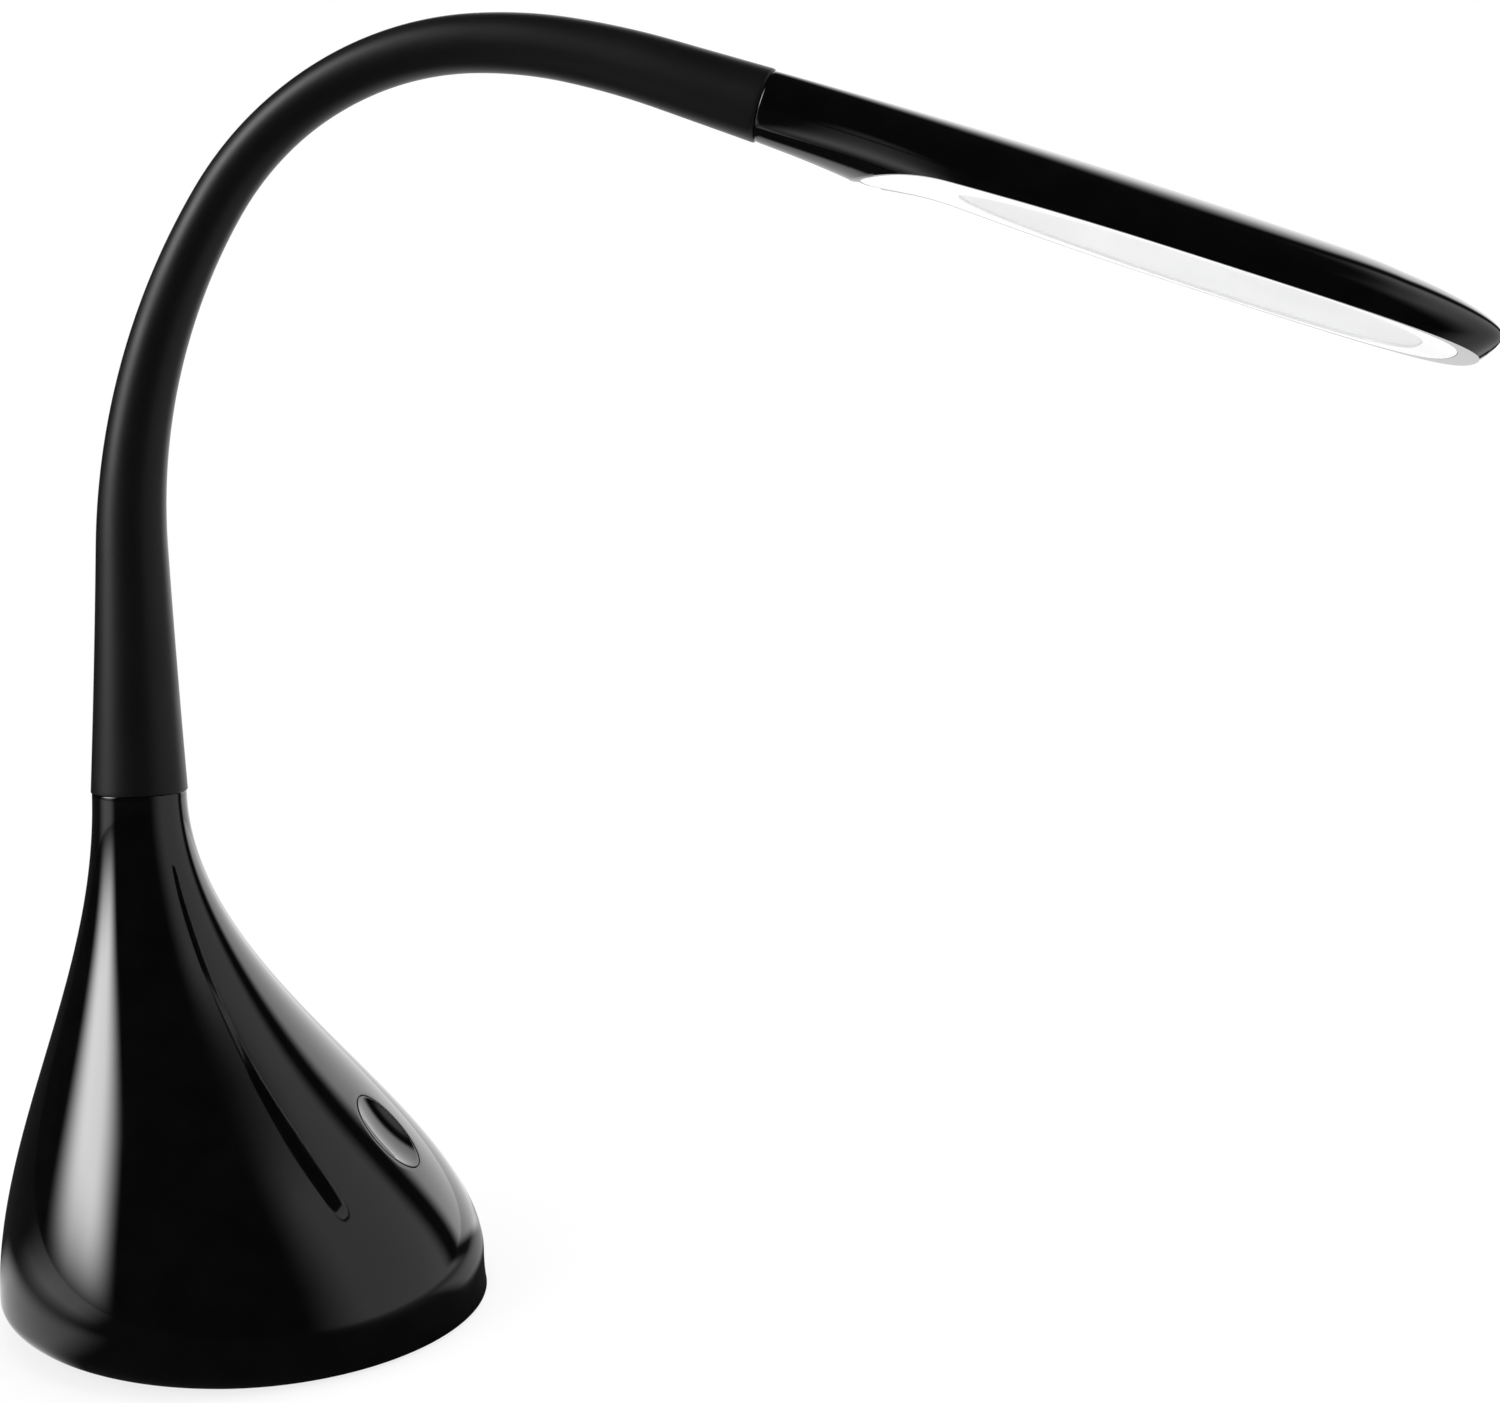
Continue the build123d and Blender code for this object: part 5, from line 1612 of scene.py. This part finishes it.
@dataclass(frozen=True)
class Studio:
    """Pale floor with painted reflections, soft light, pale surroundings, a painted-shade card and the
    camera.
    """

    camera_place: Triple = (213.77, -477.69, 215.22)
    bearing: float = 9.438
    elevation: float = 5.408
    focal_pixels: float = 1871.98
    image_width: float = 1500.0
    sensor: float = 36.0
    clip: Pair = (0.01, 60.0)
    floor_half: float = 4000.0
    floor_tone: float = 0.92
    floor_own_light: float = 0.8
    floor_ramp: Pair = (0.09, 0.5)
    fill: float = 0.7
    # Painted shade: the dark card under the head, which only reflections see, and its size and place.
    shade_card_reach: Pair = (35.0, 178.0)
    shade_card_width: float = 0.9
    shade_card_rows: int = 60
    shade_card_centre: Triple = (5.0, -42.0, 75.0)
    shade_card_share: float = 0.75
    dark: float = 0.015
    # Painted shade: the floor's brightness in reflections outside its painted pools of light.
    painted_floor_shade: float = 0.03
    bands: tuple[Band, ...] = (
        Band(2.0, (-30.0, -20.0), (28.0, 37.0), high=(34.0, 60.0)),
        Band(0.72, (42.0, 52.0), (98.0, 132.0), high=(45.0, 62.0)),
        Band(14.0, (-145.0, -127.0), (-119.0, -98.0), (-4.0, 24.0), (32.0, 56.0)),
    )
    # Painted pools of light on the floor, which only reflections see.
    painted_floor_pools: tuple[Band, ...] = (
        Band(1.3, (-30.0, -20.0), (28.0, 37.0), (0.07, 0.13)),
        Band(0.7, (42.0, 52.0), (98.0, 132.0), (0.06, 0.4)),
        Band(0.5, (22.0, 35.0), (70.0, 85.0), (0.066, 0.078), (0.1, 0.2)),
        Band(1.2, (-146.0, -128.0), (-120.0, -90.0), (0.1, 0.3)),
        Band(0.9, (-155.0, -135.0), (-100.0, -80.0), high=(0.11, 0.17)),
    )
    lamps: tuple[SoftLamp, ...] = (
        SoftLamp("key_left", (-900.0, -900.0, 900.0), aim=(60.0, 0.0, 180.0), size=900.0, watts=9.0),
        SoftLamp("top_soft", (150.0, 200.0, 1500.0), aim=(100.0, 0.0, 0.0), size=1400.0, watts=12.0),
    )

    def camera(self) -> None:
        """Makes the camera at its place, turned to its bearing and tilted down."""
        data = bpy.data.cameras.new("camera")
        data.sensor_width = self.sensor
        data.lens = self.focal_pixels * self.sensor / self.image_width
        data.clip_start, data.clip_end = self.clip
        thing = set_out("camera", data)
        thing.location = Vector(self.camera_place) * MM
        thing.rotation_euler = (math.radians(90 - self.elevation), 0.0, math.radians(self.bearing))
        bpy.context.scene.camera = thing

    @staticmethod
    def _stretch(tree: Tree, value: Socket, start: Pair, end: Pair) -> Socket:
        """A mask that is 1 between two smooth edges of a socket's value and 0 outside them."""
        fall = math_node(tree, "SUBTRACT", 1.0, ramp_node(tree, value, *end))
        return math_node(tree, "MULTIPLY", ramp_node(tree, value, *start), fall)

    @staticmethod
    def _rays(tree: Tree) -> tuple[Socket, Socket]:
        """Whether a ray was mirrored or let through, and whether it is the camera's own.

        Args:
            tree: the node tree to add to.

        Returns:
            The two answers, 1 for yes and 0 for no.
        """
        ray = tree.nodes.new("ShaderNodeLightPath").outputs
        mirrored = math_node(tree, "MAXIMUM", ray["Is Glossy Ray"], ray["Is Transmission Ray"])
        return mirrored, ray["Is Camera Ray"]

    def _banded(
        self, tree: Tree, split: bpy.types.Node, height: Socket,
        bands: tuple[Band, ...], dark: float,
    ) -> Socket:
        """Brightness of the bands in a direction, for mirror images.

        Args:
            tree: the node tree to add to.
            split: a Separate XYZ node that holds the direction or the place on the floor.
            height: elevation in degrees, or distance on the floor in metres.
            bands: the bright stretches.
            dark: the brightness between them.

        Returns:
            The brightness.
        """
        turn = math_node(tree, "ARCTAN2", split.outputs["X"], split.outputs["Y"])
        bearing = math_node(tree, "MULTIPLY", turn, DEGREES)
        total: float | Socket = dark
        for band in bands:
            across = self._stretch(tree, bearing, band.left, band.right)
            mask = math_node(tree, "MULTIPLY", across, self._stretch(tree, height, band.low, band.high))
            total = math_node(tree, "MULTIPLY_ADD", mask, band.value, total)
        return total

    def surroundings(self) -> None:
        """The world: even light for the lamp, white for the camera, soft bands for reflections."""
        world = bpy.data.worlds.new("studio")
        bpy.context.scene.world = world
        world.use_nodes = True
        tree = world.node_tree
        plain = tree.nodes["Background"]
        plain.inputs["Color"].default_value = (1.0, 1.0, 1.0, 1.0)
        split = tree.nodes.new("ShaderNodeSeparateXYZ")
        tree.links.new(tree.nodes.new("ShaderNodeTexCoord").outputs["Generated"], split.inputs[0])
        height = math_node(tree, "MULTIPLY", math_node(tree, "ARCSINE", split.outputs["Z"]), DEGREES)
        mirrored = self._banded(tree, split, height, self.bands, self.dark)
        glossy, seen = self._rays(tree)
        rest = math_node(tree, "SUBTRACT", 1.0, math_node(tree, "MAXIMUM", glossy, seen))
        strength = math_node(tree, "ADD", math_node(tree, "MULTIPLY", glossy, mirrored), seen)
        strength = math_node(tree, "ADD", strength, math_node(tree, "MULTIPLY", rest, self.fill))
        tree.links.new(strength, plain.inputs["Strength"])

    def floor(self) -> None:
        """A pale floor that keeps the lamp's soft shadow; reflections see it painted dark with pools of
        light.
        """
        span = np.array([-self.floor_half, self.floor_half])
        thing = woven("floor", np.stack(np.broadcast_arrays(span[None], span[:, None], 0.0), axis=-1))
        paint = blank_material("pale_floor")
        tree = paint.node_tree
        out = tree.nodes["Material Output"]
        tree.nodes.remove(tree.nodes["Principled BSDF"])
        matt = tree.nodes.new("ShaderNodeBsdfDiffuse")
        matt.inputs["Color"].default_value = (*[self.floor_tone] * 3, 1.0)
        own = tree.nodes.new("ShaderNodeEmission")
        mix = tree.nodes.new("ShaderNodeMixShader")
        away = tree.nodes.new("ShaderNodeVectorMath")
        away.operation = "LENGTH"
        place = tree.nodes.new("ShaderNodeTexCoord").outputs["Object"]
        tree.links.new(place, away.inputs[0])
        far = ramp_node(tree, away.outputs["Value"], *self.floor_ramp)
        glossy, seen = self._rays(tree)
        split = tree.nodes.new("ShaderNodeSeparateXYZ")
        tree.links.new(place, split.inputs[0])
        # Painted light and shade: for reflections the floor glows with its pools of light on a painted dark
        # floor.
        mirrored = self._banded(tree, split, away.outputs["Value"], self.painted_floor_pools, self.painted_floor_shade)
        strength = math_node(tree, "MULTIPLY", glossy, mirrored)
        tree.links.new(math_node(tree, "ADD", strength, seen), own.inputs["Strength"])
        white = math_node(tree, "MULTIPLY_ADD", far, 1 - self.floor_own_light, self.floor_own_light)
        share = math_node(tree, "MULTIPLY_ADD", seen, white, glossy)
        tree.links.new(share, mix.inputs["Fac"])
        tree.links.new(matt.outputs[0], mix.inputs[1])
        tree.links.new(own.outputs[0], mix.inputs[2])
        tree.links.new(mix.outputs[0], out.inputs["Surface"])
        thing.data.materials.append(paint)

    def shade_card(self, form: HeadForm) -> None:
        """Painted shade: a dark card between head and base, seen only in the gloss, hiding the pale underside
        there.

        It is the middle of the underside, drawn in towards a point on the base.

        Args:
            form: the head that it hangs under.
        """
        u = np.linspace(*self.shade_card_reach, self.shade_card_rows)[:, None]
        side = np.linspace(-self.shade_card_width, self.shade_card_width, 2) * form.half_width_at(u)
        underside = form.place(u, side, form.cut_at(u))
        centre = np.array(self.shade_card_centre)
        # Painted shade: a black card that only glossy rays see, a dark streak in the base's gloss.
        thing = woven("painted_shade_card", centre + self.shade_card_share * (underside - centre))
        shade_black = blank_material("painted_shade_black")
        surface = shade_black.node_tree.nodes["Principled BSDF"]
        surface.inputs["Base Color"].default_value = (0.0, 0.0, 0.0, 1.0)
        surface.inputs["Roughness"].default_value = 1.0
        thing.data.materials.append(shade_black)
        thing.visible_camera = False
        thing.visible_diffuse = False
        thing.visible_shadow = False
        thing.visible_transmission = False

    def build(self) -> None:
        """Makes camera, surroundings, floor, painted-shade card and lamps."""
        self.camera()
        self.surroundings()
        self.floor()
        self.shade_card(HeadForm())
        for lamp in self.lamps:
            lamp.build()
        bpy.context.scene.view_settings.view_transform = "Standard"


def main() -> None:
    """Builds the lamp in order."""
    logging.basicConfig(level=logging.INFO, format="%(message)s")
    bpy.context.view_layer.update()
    shop = PaintShop()
    Studio().build()
    for assembly in (BellBase(), DishedButton(), SoftNeck(), FlatHead()):
        assembly.dress(shop)
        LOG.info("%s is finished", type(assembly).__name__)


if __name__ == "__main__":
    main()
